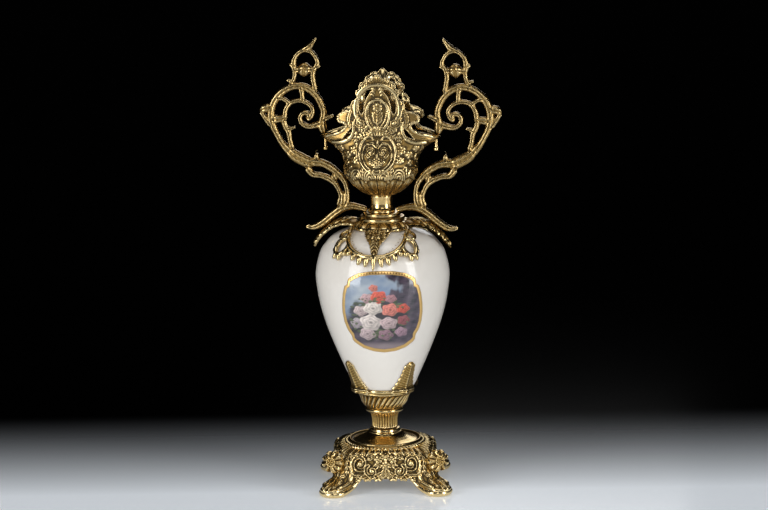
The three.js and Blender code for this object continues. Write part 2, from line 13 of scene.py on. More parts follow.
import bmesh
import bpy
import numpy as np
from mathutils import Matrix, Vector


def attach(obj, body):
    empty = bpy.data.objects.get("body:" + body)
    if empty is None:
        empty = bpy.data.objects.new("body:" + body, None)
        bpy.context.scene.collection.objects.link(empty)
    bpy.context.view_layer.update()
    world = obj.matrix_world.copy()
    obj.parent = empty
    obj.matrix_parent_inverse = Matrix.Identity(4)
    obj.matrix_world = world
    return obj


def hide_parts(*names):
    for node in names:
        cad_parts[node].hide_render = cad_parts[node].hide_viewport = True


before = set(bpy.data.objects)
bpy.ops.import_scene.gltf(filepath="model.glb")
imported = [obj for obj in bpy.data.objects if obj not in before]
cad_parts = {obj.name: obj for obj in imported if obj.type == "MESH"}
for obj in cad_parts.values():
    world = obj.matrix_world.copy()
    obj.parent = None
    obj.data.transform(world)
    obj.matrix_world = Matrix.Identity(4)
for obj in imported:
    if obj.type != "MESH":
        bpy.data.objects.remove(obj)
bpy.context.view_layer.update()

LOG = logging.getLogger("vase")
MM = 0.001
TURN = 2 * math.pi
WELD = 2e-6
TINY = 1e-6
FAR = 9.0
UPPER_TURN = math.radians(-8)
MIRROR_X = Matrix.Scale(-1, 4, (1, 0, 0))
FRONT_AND_BACK = (0, 180)
SIDES = (0, 90, 180, 270)
CORNERS = (45, 135, 225, 315)
LEAF_FRONT = 0.7
CLUMP_FRONT = 0.8

Point = Sequence[float]
Rows = Sequence[Point]
Place = Callable[[np.ndarray, np.ndarray], np.ndarray]


# Numbers and curves


def smooth(low: float, high: float, value: np.ndarray) -> np.ndarray:
    """Eased step of value from 0 at low to 1 at high."""
    t = np.clip((value - low) / (high - low), 0.0, 1.0)
    return t * t * (3 - 2 * t)


def arch(share: np.ndarray) -> np.ndarray:
    """Height of a half circle of radius 1 at shares of its half-width."""
    return np.sqrt(np.clip(1 - share**2, 0, 1))


def closing(from_end: np.ndarray) -> np.ndarray:
    """Share of its width that a round-ended bar keeps, at distances from its end in half-widths."""
    return arch(np.clip(1 - from_end, 0, 1))


def off_axis(points: np.ndarray) -> np.ndarray:
    """Distances of points from the Z axis, never quite 0."""
    return np.maximum(np.hypot(points[:, 0], points[:, 1]), TINY)


def about_axis(reach: np.ndarray, angle: np.ndarray, height: np.ndarray) -> np.ndarray:
    """Points at distances from the Z axis and angles about it, with angle 0 towards -Y."""
    return np.stack([reach * np.sin(angle), -reach * np.cos(angle), height], axis=1)


def way_at(angle: float) -> np.ndarray:
    """Direction on a sheet at an angle."""
    return np.array([math.cos(angle), math.sin(angle)])


def two_faces(s: np.ndarray, share: float) -> tuple[np.ndarray, np.ndarray]:
    """Splits one direction of a grid between a leaf's front and its back.

    Args:
        s: places along the grid, from 0 to 1.
        share: share of the grid that is the front.

    Returns:
        Whether each place is in front, and how far across the leaf it lies, from -1 to 1.
    """
    front = s < share
    return front, np.where(front, 2 * s / share - 1, 1 - 2 * (s - share) / (1 - share))


def column(rows: Rows, at: np.ndarray, index: int = 1) -> np.ndarray:
    """Value of one column of rows at places along their first column.

    Args:
        rows: rows of numbers, the first number of each rising.
        at: where to read the rows.
        index: the column that is read.

    Returns:
        The values, in straight lines between the rows.
    """
    table = np.asarray(rows, float)
    return np.interp(at, table[:, 0], table[:, index])


def curve(points: Rows, per_span: int = 8, closed: bool = False) -> np.ndarray:
    """Smooth path through points of any number of coordinates.

    Args:
        points: the points that the path goes through.
        per_span: steps from one point to the next.
        closed: whether the path comes back to its first point.

    Returns:
        The points of the path, one row each.
    """
    p = np.asarray(points, float)
    if closed:
        p = np.vstack([p[-1], p, p[0], p[1]])
    else:
        p = np.vstack([2 * p[0] - p[1], p, 2 * p[-1] - p[-2]])
    t = np.linspace(0, 1, per_span, endpoint=False)[:, None]
    spans = []
    for a, b, c, d in zip(p[:-3], p[1:-2], p[2:-1], p[3:]):
        spans.append(b + 0.5 * t * (c - a + t * (2 * a - 5 * b + 4 * c - d + t * (3 * (b - c) + d - a))))
    return np.vstack(spans + ([] if closed else [p[-2][None]]))


def lengths(path: np.ndarray) -> np.ndarray:
    """Length of a path up to each of its points."""
    return np.concatenate([[0.0], np.cumsum(np.linalg.norm(np.diff(path, axis=0), axis=1))])


def read(path: np.ndarray, reach: np.ndarray, at: np.ndarray) -> np.ndarray:
    """Rows of a path at places `at`, where its own rows stand at `reach`."""
    return np.stack([np.interp(at, reach, path[:, i]) for i in range(path.shape[1])], axis=1)


def along(path: np.ndarray, t: np.ndarray) -> np.ndarray:
    """Points of a path at shares t of its length, which is measured in its first two coordinates."""
    reach = lengths(path[:, :2])
    return read(path, reach, t * reach[-1])


def ahead_of(path: np.ndarray, t: np.ndarray, step: float) -> np.ndarray:
    """Direction of a flat path at shares t of its length, taken over a step to either side."""
    ahead = along(path, np.minimum(1, t + step)) - along(path, np.maximum(0, t - step))
    return ahead[:, :2] / np.maximum(np.hypot(ahead[:, 0], ahead[:, 1]), TINY)[:, None]


def close_by(path: np.ndarray, u: np.ndarray, v: np.ndarray, spare: float = 0.0) -> np.ndarray:
    """Numbers of the points in the box round a stroke.

    Args:
        path: rows [u, v, half-width] of the stroke.
        u: first coordinate of each point.
        v: second coordinate of each point.
        spare: how far the box goes beyond the half-width.

    Returns:
        The numbers of the points.
    """
    width = path[:, 2].max() + spare
    low, high = path[:, :2].min(0) - width, path[:, :2].max(0) + width
    return np.flatnonzero((u > low[0]) & (u < high[0]) & (v > low[1]) & (v < high[1]))


def beside(path: np.ndarray, u: np.ndarray, v: np.ndarray, least: float) -> tuple[np.ndarray, np.ndarray]:
    """Where points lie beside a stroke.

    Args:
        path: rows [u, v, half-width] of the stroke.
        u: first coordinate of each point.
        v: second coordinate of each point.
        least: least half-width that counts.

    Returns:
        Each point's distance from the stroke as a share of its half-width, and how far along it is.
    """
    points = np.stack([u, v], axis=1)
    share = np.full(len(u), FAR)
    run = np.zeros(len(u))
    done = 0.0
    for a, b in zip(path[:-1], path[1:]):
        step = b[:2] - a[:2]
        span = float(np.hypot(*step))
        t = np.clip(((points - a[:2]) @ step) / max(span * span, 1e-9), 0, 1)
        width = np.maximum(a[2] + (b[2] - a[2]) * t, least)
        off = np.hypot(*(points - a[:2] - t[:, None] * step).T) / width
        better = off < share
        share[better] = off[better]
        run[better] = done + t[better] * span
        done += span
    return share, run


# Relief


class Section(Enum):
    """How a ridge of carving is shaped across."""

    ROUND = "round"
    BAND = "band"
    LEAF = "leaf"


@dataclass
class Ridge:
    """One stroke of carving: a path of [u, v, half-width] rows on a sheet, and how high it stands."""

    path: np.ndarray
    height: float
    section: Section = Section.ROUND

    def rise(self, u: np.ndarray, v: np.ndarray) -> np.ndarray:
        """Height of the ridge over points of the sheet.

        Args:
            u: first coordinate of each point.
            v: second coordinate of each point.

        Returns:
            The height at each point, 0 off the ridge.
        """
        out = np.zeros(len(u))
        near = close_by(self.path, u, v)
        if len(near):
            share, _ = beside(self.path, u[near], v[near], 0.05)
            out[near] = self.height * self.across(share)
        return out

    def across(self, share: np.ndarray) -> np.ndarray:
        """Height of the section at shares of its half-width, from 1 at the crest to 0 at the edge.

        Args:
            share: distances from the crest as shares of the half-width.

        Returns:
            The height, from 1 at the crest to 0 at the edge.
        """
        inside = np.clip(1 - share * share, 0, 1)
        if self.section is Section.BAND:
            edge = np.clip(1 - ((share - 0.72) / 0.28) ** 2, 0, 1) ** 0.5
            return np.where(share < 1, np.maximum(0.45 * inside**0.2, edge), 0)
        if self.section is Section.LEAF:
            return np.where(share < 1, 0.75 * inside**0.5 + 0.25 * np.clip(1 - 4 * share, 0, 1), 0)
        return inside**0.5


@dataclass
class Relief:
    """Carving on a sheet: strokes that stand up from it, each as high as the highest at a point."""

    ridges: list[Ridge] = field(default_factory=list)

    def stroke(self, points: Rows, height: float, section: Section = Section.ROUND) -> None:
        """Adds a smooth stroke through points [u, v, half-width]."""
        self.ridges.append(Ridge(curve(points, 5), height, section))

    def ring(self, centre: Point, radii: Point, width: float, height: float) -> None:
        """Adds an oval ring.

        Args:
            centre: its middle (u, v).
            radii: its half-sizes along u and v.
            width: half-width of the ring's band.
            height: how high it stands.
        """
        angles = np.linspace(0, TURN, 37)
        u = centre[0] + radii[0] * np.cos(angles)
        v = centre[1] + radii[1] * np.sin(angles)
        self.ridges.append(Ridge(np.stack([u, v, np.full_like(u, width)], axis=1), height))

    def scroll(
        self, centre: Point, radius: float, start: float, turns: float, width: float, height: float
    ) -> None:
        """Adds a scroll that winds in to its eye.

        Args:
            centre: the eye (u, v).
            radius: distance of the outer end from the eye.
            start: angle of the outer end, in degrees.
            turns: turns from the outer end to the eye, negative for clockwise.
            width: half-width of the outer end.
            height: how high it stands.
        """
        t = np.linspace(0, 1, max(10, int(abs(turns) * 18)))
        angles = math.radians(start) + TURN * turns * t
        reach = radius * (1 - t) ** 0.8
        widths = width * (1 - 0.45 * t)
        u = centre[0] + reach * np.cos(angles)
        v = centre[1] + reach * np.sin(angles)
        self.ridges.append(Ridge(np.stack([u, v, widths], axis=1), height, Section.BAND))
        self.bead(centre, width * 1.25, height * 1.2)

    def bead(self, centre: Point, radius: float, height: float) -> None:
        """Adds a round boss."""
        point = [centre[0], centre[1], radius]
        self.ridges.append(Ridge(np.array([point, point], float), height))

    def beads(self, points: Rows, radius: float, pitch: float, height: float) -> None:
        """Adds a row of small beads along a smooth path.

        Args:
            points: the points [u, v] of the path.
            radius: radius of a bead.
            pitch: distance from bead to bead.
            height: how high they stand.
        """
        path = curve(points)
        length = lengths(path[:, :2])[-1]
        for u, v in along(path, np.linspace(0, 1, max(2, int(length / pitch) + 1)))[:, :2]:
            self.bead((u, v), radius, height)

    def leaf(self, points: Rows, width: float, height: float, fingers: int = 5) -> None:
        """Adds an acanthus leaf: a midrib with pairs of fingers that point towards its tip.

        Args:
            points: the points [u, v] of the midrib, from root to tip.
            width: half-width of the leaf where it is broadest.
            height: how high the fingers stand.
            fingers: pairs of fingers.
        """
        path = curve(points)
        rib = along(path, np.linspace(0, 1, 12))
        taper = np.linspace(0.3, 0.1, 12)[:, None] * width
        self.ridges.append(Ridge(np.hstack([rib[:, :2], taper]), height * 1.15, Section.LEAF))
        for i in range(fingers):
            t = (i + 0.3) / fingers
            root, ahead = along(path, np.array([t, min(1.0, t + 0.05)]))[:, :2]
            forward = (ahead - root) / max(np.hypot(*(ahead - root)), TINY)
            reach = width * math.sin(math.pi * (0.25 + 0.7 * t)) ** 0.7
            for side in (-1, 1):
                across = side * np.array([-forward[1], forward[0]])
                knee = root + reach * (0.55 * across + 0.35 * forward)
                tip = root + reach * (0.95 * across + 0.95 * forward)
                girth = width / fingers * 1.15
                finger = [[*root, girth * 0.8], [*knee, girth], [*tip, girth * 0.35]]
                self.stroke(finger, height, Section.LEAF)

    def blossom(self, centre: Point, radius: float, petals: int, height: float) -> None:
        """Adds an open blossom of round petals about a boss.

        Args:
            centre: its middle (u, v).
            radius: its radius.
            petals: number of petals.
            height: how high they stand.
        """
        for i in range(petals):
            way = way_at(TURN * (i + 0.5) / petals)
            root = np.asarray(centre, float) + 0.3 * radius * way
            tip = np.asarray(centre, float) + 0.7 * radius * way
            girth = radius * math.sin(math.pi / petals) * 0.95
            self.ridges.append(Ridge(np.array([[*root, girth * 0.5], [*tip, girth]]), height))
        self.bead(centre, radius * 0.3, height * 1.25)

    def mirror(self, other: "Relief") -> None:
        """Adds the strokes of another relief and their mirror images across u = 0.

        Args:
            other: the other relief.
        """
        for ridge in other.ridges:
            flipped = ridge.path * np.array([-1, 1, 1])
            self.ridges += [ridge, Ridge(flipped, ridge.height, ridge.section)]

    def rise(self, u: np.ndarray, v: np.ndarray) -> np.ndarray:
        """Height of the carving over points (u, v) of the sheet.

        Args:
            u: first coordinate of each point.
            v: second coordinate of each point.

        Returns:
            The height at each point, 0 off the carving.
        """
        out = np.zeros(len(u))
        for ridge in self.ridges:
            np.maximum(out, ridge.rise(u, v), out=out)
        return out


# Meshes


def held(name: str, bm: bmesh.types.BMesh) -> bpy.types.Object:
    """Smooth-shaded object of a bmesh in metres, which is freed. The object is linked to the scene.

    Args:
        name: name of the object.
        bm: the bmesh.

    Returns:
        The object.
    """
    mesh = bpy.data.meshes.new(name)
    bm.to_mesh(mesh)
    bm.free()
    mesh.polygons.foreach_set("use_smooth", np.ones(len(mesh.polygons), bool))
    obj = bpy.data.objects.new(name, mesh)
    bpy.context.scene.collection.objects.link(obj)
    return obj


def linked(name: str, bm: bmesh.types.BMesh) -> bpy.types.Object:
    """Object of a bmesh, as `held` makes it, with its doubles merged and its faces outwards.

    Args:
        name: name of the object.
        bm: the bmesh, which is freed.

    Returns:
        The object.
    """
    bmesh.ops.remove_doubles(bm, verts=bm.verts, dist=WELD)
    bmesh.ops.recalc_face_normals(bm, faces=bm.faces)
    return held(name, bm)


def vertices(obj: bpy.types.Object) -> np.ndarray:
    """Places of an object's vertices, in millimetres.

    Args:
        obj: the object.

    Returns:
        Points (n, 3).
    """
    flat = np.empty(len(obj.data.vertices) * 3, np.float32)
    obj.data.vertices.foreach_get("co", flat)
    return flat.reshape(-1, 3).astype(float) / MM


def normals(obj: bpy.types.Object) -> np.ndarray:
    """Outward normals of an object's vertices.

    Args:
        obj: the object.

    Returns:
        Directions (n, 3).
    """
    flat = np.empty(len(obj.data.vertices) * 3, np.float32)
    obj.data.vertex_normals.foreach_get("vector", flat)
    return flat.reshape(-1, 3).astype(float)


def move(obj: bpy.types.Object, points: np.ndarray) -> bpy.types.Object:
    """Puts an object's vertices at points in millimetres.

    Args:
        obj: the object.
        points: the points (n, 3).

    Returns:
        The object.
    """
    obj.data.vertices.foreach_set("co", (points * MM).astype(np.float32).ravel())
    obj.data.update()
    return obj


def lattice(name: str, columns: int, rows: int, place: Place) -> bpy.types.Object:
    """A grid of faces that is wrapped to a form.

    Args:
        name: name of the object.
        columns: faces along s.
        rows: faces along t.
        place: gives the points (n, 3), in millimetres, for arrays s and t from 0 to 1.

    Returns:
        The object. Edges that meet are merged.
    """
    bm = bmesh.new()
    bmesh.ops.create_grid(bm, x_segments=columns, y_segments=rows, size=1.0)
    mesh = bpy.data.meshes.new(name)
    bm.to_mesh(mesh)
    flat = np.empty(len(mesh.vertices) * 3, np.float32)
    mesh.vertices.foreach_get("co", flat)
    grid = (flat.reshape(-1, 3) + 1) / 2
    points = place(grid[:, 0].astype(float), grid[:, 1].astype(float)) * MM
    mesh.vertices.foreach_set("co", points.astype(np.float32).ravel())
    bm.clear()
    bm.from_mesh(mesh)
    bpy.data.meshes.remove(mesh)
    return linked(name, bm)


def turned(name: str, profile: Rows, steps: int) -> bpy.types.Object:
    """A form turned about the Z axis.

    Args:
        name: name of the object.
        profile: points (radius, height) from one end on the axis to the other.
        steps: steps round the turn.

    Returns:
        The object.
    """
    bm = bmesh.new()
    points = [bm.verts.new((r * MM, 0, z * MM)) for r, z in profile]
    edges = [bm.edges.new(pair) for pair in zip(points[:-1], points[1:])]
    bmesh.ops.spin(
        bm, geom=points + edges, cent=(0, 0, 0), axis=(0, 0, 1), angle=TURN, steps=steps, use_merge=True
    )
    return linked(name, bm)


def rounded(profile: Rows, radius: float, steps: int = 4) -> list[tuple[float, float]]:
    """A profile with its inner corners rounded.

    Args:
        profile: points (radius, height).
        radius: how far from a corner the rounding starts.
        steps: points of each arc.

    Returns:
        The points of the rounded profile.
    """
    p = np.asarray(profile, float)
    out = [tuple(p[0])]
    for before, corner, after in zip(p[:-2], p[1:-1], p[2:]):
        ways = [before - corner, after - corner]
        spans = [max(float(np.hypot(*way)), TINY) for way in ways]
        taken = min(radius, 0.45 * min(spans))
        start, end = (corner + way / span * taken for way, span in zip(ways, spans))
        for t in np.linspace(0, 1, steps + 1):
            out.append(tuple((1 - t) ** 2 * start + 2 * t * (1 - t) * corner + t * t * end))
    return out + [tuple(p[-1])]


def fine_profile(profile: Rows, radius: float, count: int) -> np.ndarray:
    """A rounded profile as `count` points at even steps, with `radius` as for `rounded`."""
    return along(np.asarray(rounded(profile, radius)), np.linspace(0, 1, count))


def rod(name: str, path: np.ndarray, radii: np.ndarray, sides: int = 12) -> bpy.types.Object:
    """A round bar along a path, with rounded ends.

    Args:
        name: name of the object.
        path: points (n, 3), in millimetres.
        radii: half-width at each point.
        sides: sides of its section.

    Returns:
        The object.
    """
    reach = lengths(path)
    slope = np.gradient(path, reach, axis=0)

    def place(s: np.ndarray, t: np.ndarray) -> np.ndarray:
        """Wraps the grid round the path.

        Args:
            s: places round the form or across it, from 0 to 1.
            t: places along the other way of the grid, from 0 to 1.

        Returns:
            The points, in millimetres.
        """
        at = t * reach[-1]
        width = np.interp(at, reach, radii)
        tangent = read(slope, reach, at)
        tangent /= np.linalg.norm(tangent, axis=1, keepdims=True)
        across = np.cross(tangent, (0.0, 0.0, 1.0))
        across /= np.maximum(np.linalg.norm(across, axis=1, keepdims=True), 1e-9)
        lift = np.cross(across, tangent)
        from_end = np.minimum(at, reach[-1] - at) / np.maximum(width, TINY)
        angle = s * TURN
        ring = np.cos(angle)[:, None] * across + np.sin(angle)[:, None] * lift
        return read(path, reach, at) + (width * closing(from_end))[:, None] * ring

    rows_per_radius = 3
    count = max(4, int(reach[-1] / max(float(np.mean(radii)), 0.5) * rows_per_radius))
    return lattice(name, sides, count, place)


def joined(name: str, objects: Sequence[bpy.types.Object]) -> bpy.types.Object:
    """One object that holds the meshes of several, which are removed.

    Args:
        name: name of the new object.
        objects: the objects.

    Returns:
        The new object.
    """
    bm = bmesh.new()
    for obj in objects:
        bm.from_mesh(obj.data)
        bpy.data.objects.remove(obj)
    return held(name, bm)


def copied(obj: bpy.types.Object, matrix: Matrix) -> bpy.types.Object:
    """A copy of an object, placed by a matrix in millimetres, with its faces outwards.

    Args:
        obj: the object.
        matrix: turn, mirror or shift.

    Returns:
        The copy.
    """
    bm = bmesh.new()
    bm.from_mesh(obj.data)
    scale = Matrix.Scale(MM, 4)
    bm.transform(scale @ matrix @ scale.inverted())
    if matrix.determinant() < 0:
        bmesh.ops.reverse_faces(bm, faces=bm.faces)
    return linked(obj.name + "_copy", bm)


def around(name: str, obj: bpy.types.Object, angles: Sequence[float]) -> bpy.types.Object:
    """An object and its copies turned about the Z axis, as one.

    Args:
        name: name of the new object.
        obj: the object, which is used up.
        angles: the angles, in degrees.

    Returns:
        The new object.
    """
    copies = [copied(obj, Matrix.Rotation(math.radians(a), 4, "Z")) for a in angles]
    bpy.data.objects.remove(obj)
    return joined(name, copies)


def apply_modifiers(obj: bpy.types.Object) -> None:
    """Makes an object's modifiers part of its mesh.

    Args:
        obj: the object.
    """
    depsgraph = bpy.context.evaluated_depsgraph_get()
    mesh = bpy.data.meshes.new_from_object(obj.evaluated_get(depsgraph))
    obj.modifiers.clear()
    obj.data = mesh


class Cut(Enum):
    """What a cut keeps of an object: what lies outside the tool, or inside it."""

    OUTSIDE = "DIFFERENCE"
    INSIDE = "INTERSECT"


def cut(obj: bpy.types.Object, tool: bpy.types.Object, keep: Cut) -> None:
    """Cuts an object with a tool.

    Args:
        obj: the object.
        tool: the closed mesh that cuts it, which is used up.
        keep: what is kept.
    """
    boolean = obj.modifiers.new("cut", "BOOLEAN")
    boolean.object = tool
    boolean.operation = keep.value
    boolean.solver = "MANIFOLD"
    apply_modifiers(obj)
    bpy.data.objects.remove(tool)


def fuse(obj: bpy.types.Object, voxel: float, rounds: int) -> None:
    """Runs an object's closed forms together into one skin.

    Args:
        obj: the object.
        voxel: size of the skin's cells, in millimetres.
        rounds: rounds of smoothing.
    """
    remesh = obj.modifiers.new("remesh", "REMESH")
    remesh.mode = "VOXEL"
    remesh.voxel_size = voxel * MM
    apply_modifiers(obj)
    bm = bmesh.new()
    bm.from_mesh(obj.data)
    axes = {"use_axis_x": True, "use_axis_y": True, "use_axis_z": True}
    for _ in range(rounds):
        bmesh.ops.smooth_vert(bm, verts=bm.verts, factor=0.5, **axes)
    bm.to_mesh(obj.data)
    bm.free()
    obj.data.polygons.foreach_set("use_smooth", np.ones(len(obj.data.polygons), bool))


def marked(obj: bpy.types.Object, name: str, values: np.ndarray) -> None:
    """Writes a number for each point of an object."""
    layer = obj.data.attributes.new(name, "FLOAT", "POINT")
    layer.data.foreach_set("value", values.astype(np.float32))


def painted_light_and_patina(obj: bpy.types.Object, scale: float = 0.45, rounds: Sequence[int] = (3, 14)) -> None:
    """Writes the attribute "painted_light_and_patina": how far each point stands proud of its surroundings,
    which the gilt finish turns into painted shade with dark patina in hollows and a painted highlight with
    burnish on crests.

    Args:
        obj: the object.
        scale: height, in millimetres, over which a recess turns to a crest.
        rounds: rounds of smoothing that give the surroundings, fine and coarse.
    """
    points = vertices(obj)
    outward = normals(obj)
    pairs = np.empty(len(obj.data.edges) * 2, np.int32)
    obj.data.edges.foreach_get("vertices", pairs)
    a, b = pairs[0::2], pairs[1::2]
    count = np.bincount(pairs, minlength=len(points)).astype(float)[:, None]
    blend = 0.6
    blurred = points.copy()
    proud = np.zeros(len(points))
    done = 0
    for goal in rounds:
        for _ in range(goal - done):
            total = np.zeros_like(blurred)
            for axis in range(3):
                total[:, axis] = np.bincount(a, blurred[b, axis], len(points))
                total[:, axis] += np.bincount(b, blurred[a, axis], len(points))
            blurred = (1 - blend) * blurred + blend * total / np.maximum(count, 1)
        done = goal
        proud += ((points - blurred) * outward).sum(1) / len(rounds)
    # Mask of painted shade in hollows and painted highlight on crests, together with patina and burnish.
    marked(obj, "painted_light_and_patina", np.clip(0.5 + proud / (2 * scale), 0, 1))


def painted(obj: bpy.types.Object, name: str, colours: np.ndarray) -> None:
    """Writes a colour attribute of an object's points from rows of red, green and blue.

    Args:
        obj: the object.
        name: name of the attribute.
        colours: rows of red, green and blue.
    """
    layer = obj.data.attributes.new(name, "FLOAT_COLOR", "POINT")
    rgba = np.hstack([colours, np.ones((len(colours), 1))]).astype(np.float32)
    layer.data.foreach_set("color", rgba.ravel())


# Finishes

Colour = tuple[float, float, float]
Input = Union["Level", bpy.types.NodeSocket, float, Sequence[float]]


class Level:
    """A number that varies over a surface: an output of a shader, with the usual sums."""

    def __init__(self, shader: "Shader", socket: bpy.types.NodeSocket) -> None:
        """Wraps one output socket."""
        self.shader = shader
        self.socket = socket

    def _sum(self, operation: str, first: Input, second: Input) -> "Level":
        """Adds one Math node and returns its result."""
        node = self.shader.node("ShaderNodeMath", {"operation": operation}, {0: first, 1: second})
        return Level(self.shader, node.outputs[0])

    def __add__(self, other: Input) -> "Level":
        """Sum."""
        return self._sum("ADD", self, other)

    __radd__ = __add__

    def __sub__(self, other: Input) -> "Level":
        """Difference."""
        return self._sum("SUBTRACT", self, other)

    def __rsub__(self, other: Input) -> "Level":
        """Difference from a number."""
        return self._sum("SUBTRACT", other, self)

    def __mul__(self, other: Input) -> "Level":
        """Product."""
        return self._sum("MULTIPLY", self, other)

    __rmul__ = __mul__

    def __pow__(self, other: Input) -> "Level":
        """Power."""
        return self._sum("POWER", self, other)

    def between(self, low: float, high: float, blend: str = "LINEAR") -> "Level":
        """Step from 0 at low to 1 at high.

        Args:
            low: value that gives 0.
            high: value that gives 1.
            blend: interpolation of the Map Range node.

        Returns:
            The step.
        """
        limits = {"Value": self, "From Min": low, "From Max": high}
        node = self.shader.node("ShaderNodeMapRange", {"interpolation_type": blend}, limits)
        return Level(self.shader, node.outputs[0])

    def eased(self, low: float, high: float) -> "Level":
        """Eased step from 0 at low to 1 at high."""
        return self.between(low, high, "SMOOTHSTEP")


class Shader:
    """A material and the nodes that make its finish."""

    def __init__(self, name: str) -> None:
        """Starts a material that holds one Principled BSDF.

        Args:
            name: name of the material.
        """
        self.material = bpy.data.materials.new(name)
        self.material.use_nodes = True
        self.tree = self.material.node_tree
        self.surface = self.tree.nodes["Principled BSDF"]

    def node(self, kind: str, settings: dict, sockets: dict) -> bpy.types.Node:
        """Adds a node.

        Args:
            kind: the node's type.
            settings: its own settings, which are set first.
            sockets: values or links of its input sockets, by name or number.

        Returns:
            The node.
        """
        node = self.tree.nodes.new(kind)
        for key, value in settings.items():
            setattr(node, key, value)
        for key, value in sockets.items():
            self.feed(node.inputs[key], value)
        return node

    def feed(self, socket: bpy.types.NodeSocket, value: Input) -> None:
        """Links a value to an input socket, or sets a number on it.

        Args:
            socket: the input socket.
            value: a link, a number or a row of numbers.
        """
        if isinstance(value, Level):
            value = value.socket
        if isinstance(value, bpy.types.NodeSocket):
            self.tree.links.new(value, socket)
        else:
            socket.default_value = value

    def set(self, **values: Input) -> None:
        """Feeds inputs of the surface, each named with _ for a space."""
        for key, value in values.items():
            self.feed(self.surface.inputs[key.replace("_", " ")], value)

    def attribute(self, name: str) -> Level:
        """A number that the mesh carries."""
        node = self.node("ShaderNodeAttribute", {"attribute_name": name}, {})
        return Level(self, node.outputs["Fac"])

    def noise(self, scale: float, detail: float = 3.0, roughness: float = 0.5) -> Level:
        """Noise over the object's own place, with `scale` features to the metre.

        Args:
            scale: features to the metre.
            detail: octaves of the noise.
            roughness: strength of the finer octaves.

        Returns:
            The noise, from 0 to 1.
        """
        place = self.node("ShaderNodeTexCoord", {}, {}).outputs["Object"]
        sockets = {"Vector": place, "Scale": scale, "Detail": detail, "Roughness": roughness}
        return Level(self, self.node("ShaderNodeTexNoise", {}, sockets).outputs[0])

    def mix(self, share: Input, first: Input, second: Input) -> bpy.types.NodeSocket:
        """Colour between two colours."""
        node = self.node("ShaderNodeMix", {"data_type": "RGBA"}, {0: share, 6: first, 7: second})
        return node.outputs[2]

    def bump(self, height: Level, distance: float, strength: float = 1.0) -> bpy.types.NodeSocket:
        """Normal that a height gives, with its distance in millimetres."""
        sockets = {"Height": height, "Distance": distance * MM, "Strength": strength}
        return self.node("ShaderNodeBump", {}, sockets).outputs[0]


def opaque(colour: Colour) -> tuple[float, float, float, float]:
    """A colour with full alpha."""
    return (*colour, 1.0)


@dataclass(frozen=True)
class GiltBrass:
    """Gilt cast brass: gold on its sides, dark in its recesses from patina and painted shade, and pale on its
    crests from burnish and a painted highlight.
    """

    name: str = "gilt_cast_brass"
    # recess: dark patina together with painted shade; crest: burnish together with a painted highlight.
    recess: Colour = (0.052, 0.034, 0.010)
    side: Colour = (0.34, 0.215, 0.068)
    crest: Colour = (0.62, 0.475, 0.235)
    rough: tuple[float, float] = (0.50, 0.21)

    def material(self) -> bpy.types.Material:
        """Makes the material, which reads the attribute "painted_light_and_patina" for its painted shade,
        painted highlight, patina and burnish.

        Returns:
            The material.
        """
        shader = Shader(self.name)
        mottle = shader.noise(260.0, 4.0, 0.6)
        shade_highlight_and_patina = shader.attribute("painted_light_and_patina") + (mottle - 0.5) * 0.22
        # Painted shade with patina: hollows take the dark recess colour.
        gold = shader.mix(shade_highlight_and_patina.eased(0.24, 0.56), opaque(self.recess), opaque(self.side))
        low, high = self.rough
        shader.set(
            # Painted highlight with burnish: crests take the pale crest colour.
            Base_Color=shader.mix(shade_highlight_and_patina.eased(0.50, 0.82), gold, opaque(self.crest)),
            Metallic=shade_highlight_and_patina.eased(0.12, 0.40) * 0.45 + 0.55,
            Roughness=low - shade_highlight_and_patina.eased(0.30, 0.72) * (low - high) + (mottle - 0.5) * 0.08,
            Normal=shader.bump(shader.noise(900.0, 3.0), 0.12, 0.5),
        )
        return shader.material


@dataclass(frozen=True)
class PolishedBrass:
    """Turned and polished brass, with faint tarnish."""

    name: str = "polished_brass"
    bright: Colour = (0.82, 0.60, 0.28)
    dull: Colour = (0.68, 0.46, 0.17)

    def material(self) -> bpy.types.Material:
        """Makes the material.

        Returns:
            The material.
        """
        shader = Shader(self.name)
        tarnish = shader.noise(60.0, 4.0, 0.6)
        shader.set(
            Base_Color=shader.mix(tarnish.eased(0.4, 0.7), opaque(self.bright), opaque(self.dull)),
            Metallic=1.0,
            Roughness=0.15 + tarnish * 0.12,
        )
        return shader.material


@dataclass(frozen=True)
class Porcelain:
    """Glossy warm white glaze."""

    name: str = "white_porcelain"
    glaze: Colour = (0.875, 0.828, 0.757)
    shade: Colour = (0.845, 0.793, 0.72)

    def material(self) -> bpy.types.Material:
        """Makes the material.

        Returns:
            The material.
        """
        shader = Shader(self.name)
        cloud = shader.noise(14.0, 2.0)
        shader.set(
            Base_Color=shader.mix(cloud.eased(0.3, 0.7), opaque(self.glaze), opaque(self.shade)),
            Roughness=0.13,
            IOR=1.45,
        )
        return shader.material


@dataclass(frozen=True)
class Painted:
    """Painting under glaze, whose colours the mesh carries."""

    name: str = "painted_porcelain"
    attribute: str = "paint"

    def material(self) -> bpy.types.Material:
        """Makes the material.

        Returns:
            The material.
        """
        shader = Shader(self.name)
        node = shader.node("ShaderNodeAttribute", {"attribute_name": self.attribute}, {})
        shader.set(Base_Color=node.outputs["Color"], Roughness=0.12, Coat_Weight=0.4, Coat_Roughness=0.04)
        return shader.material


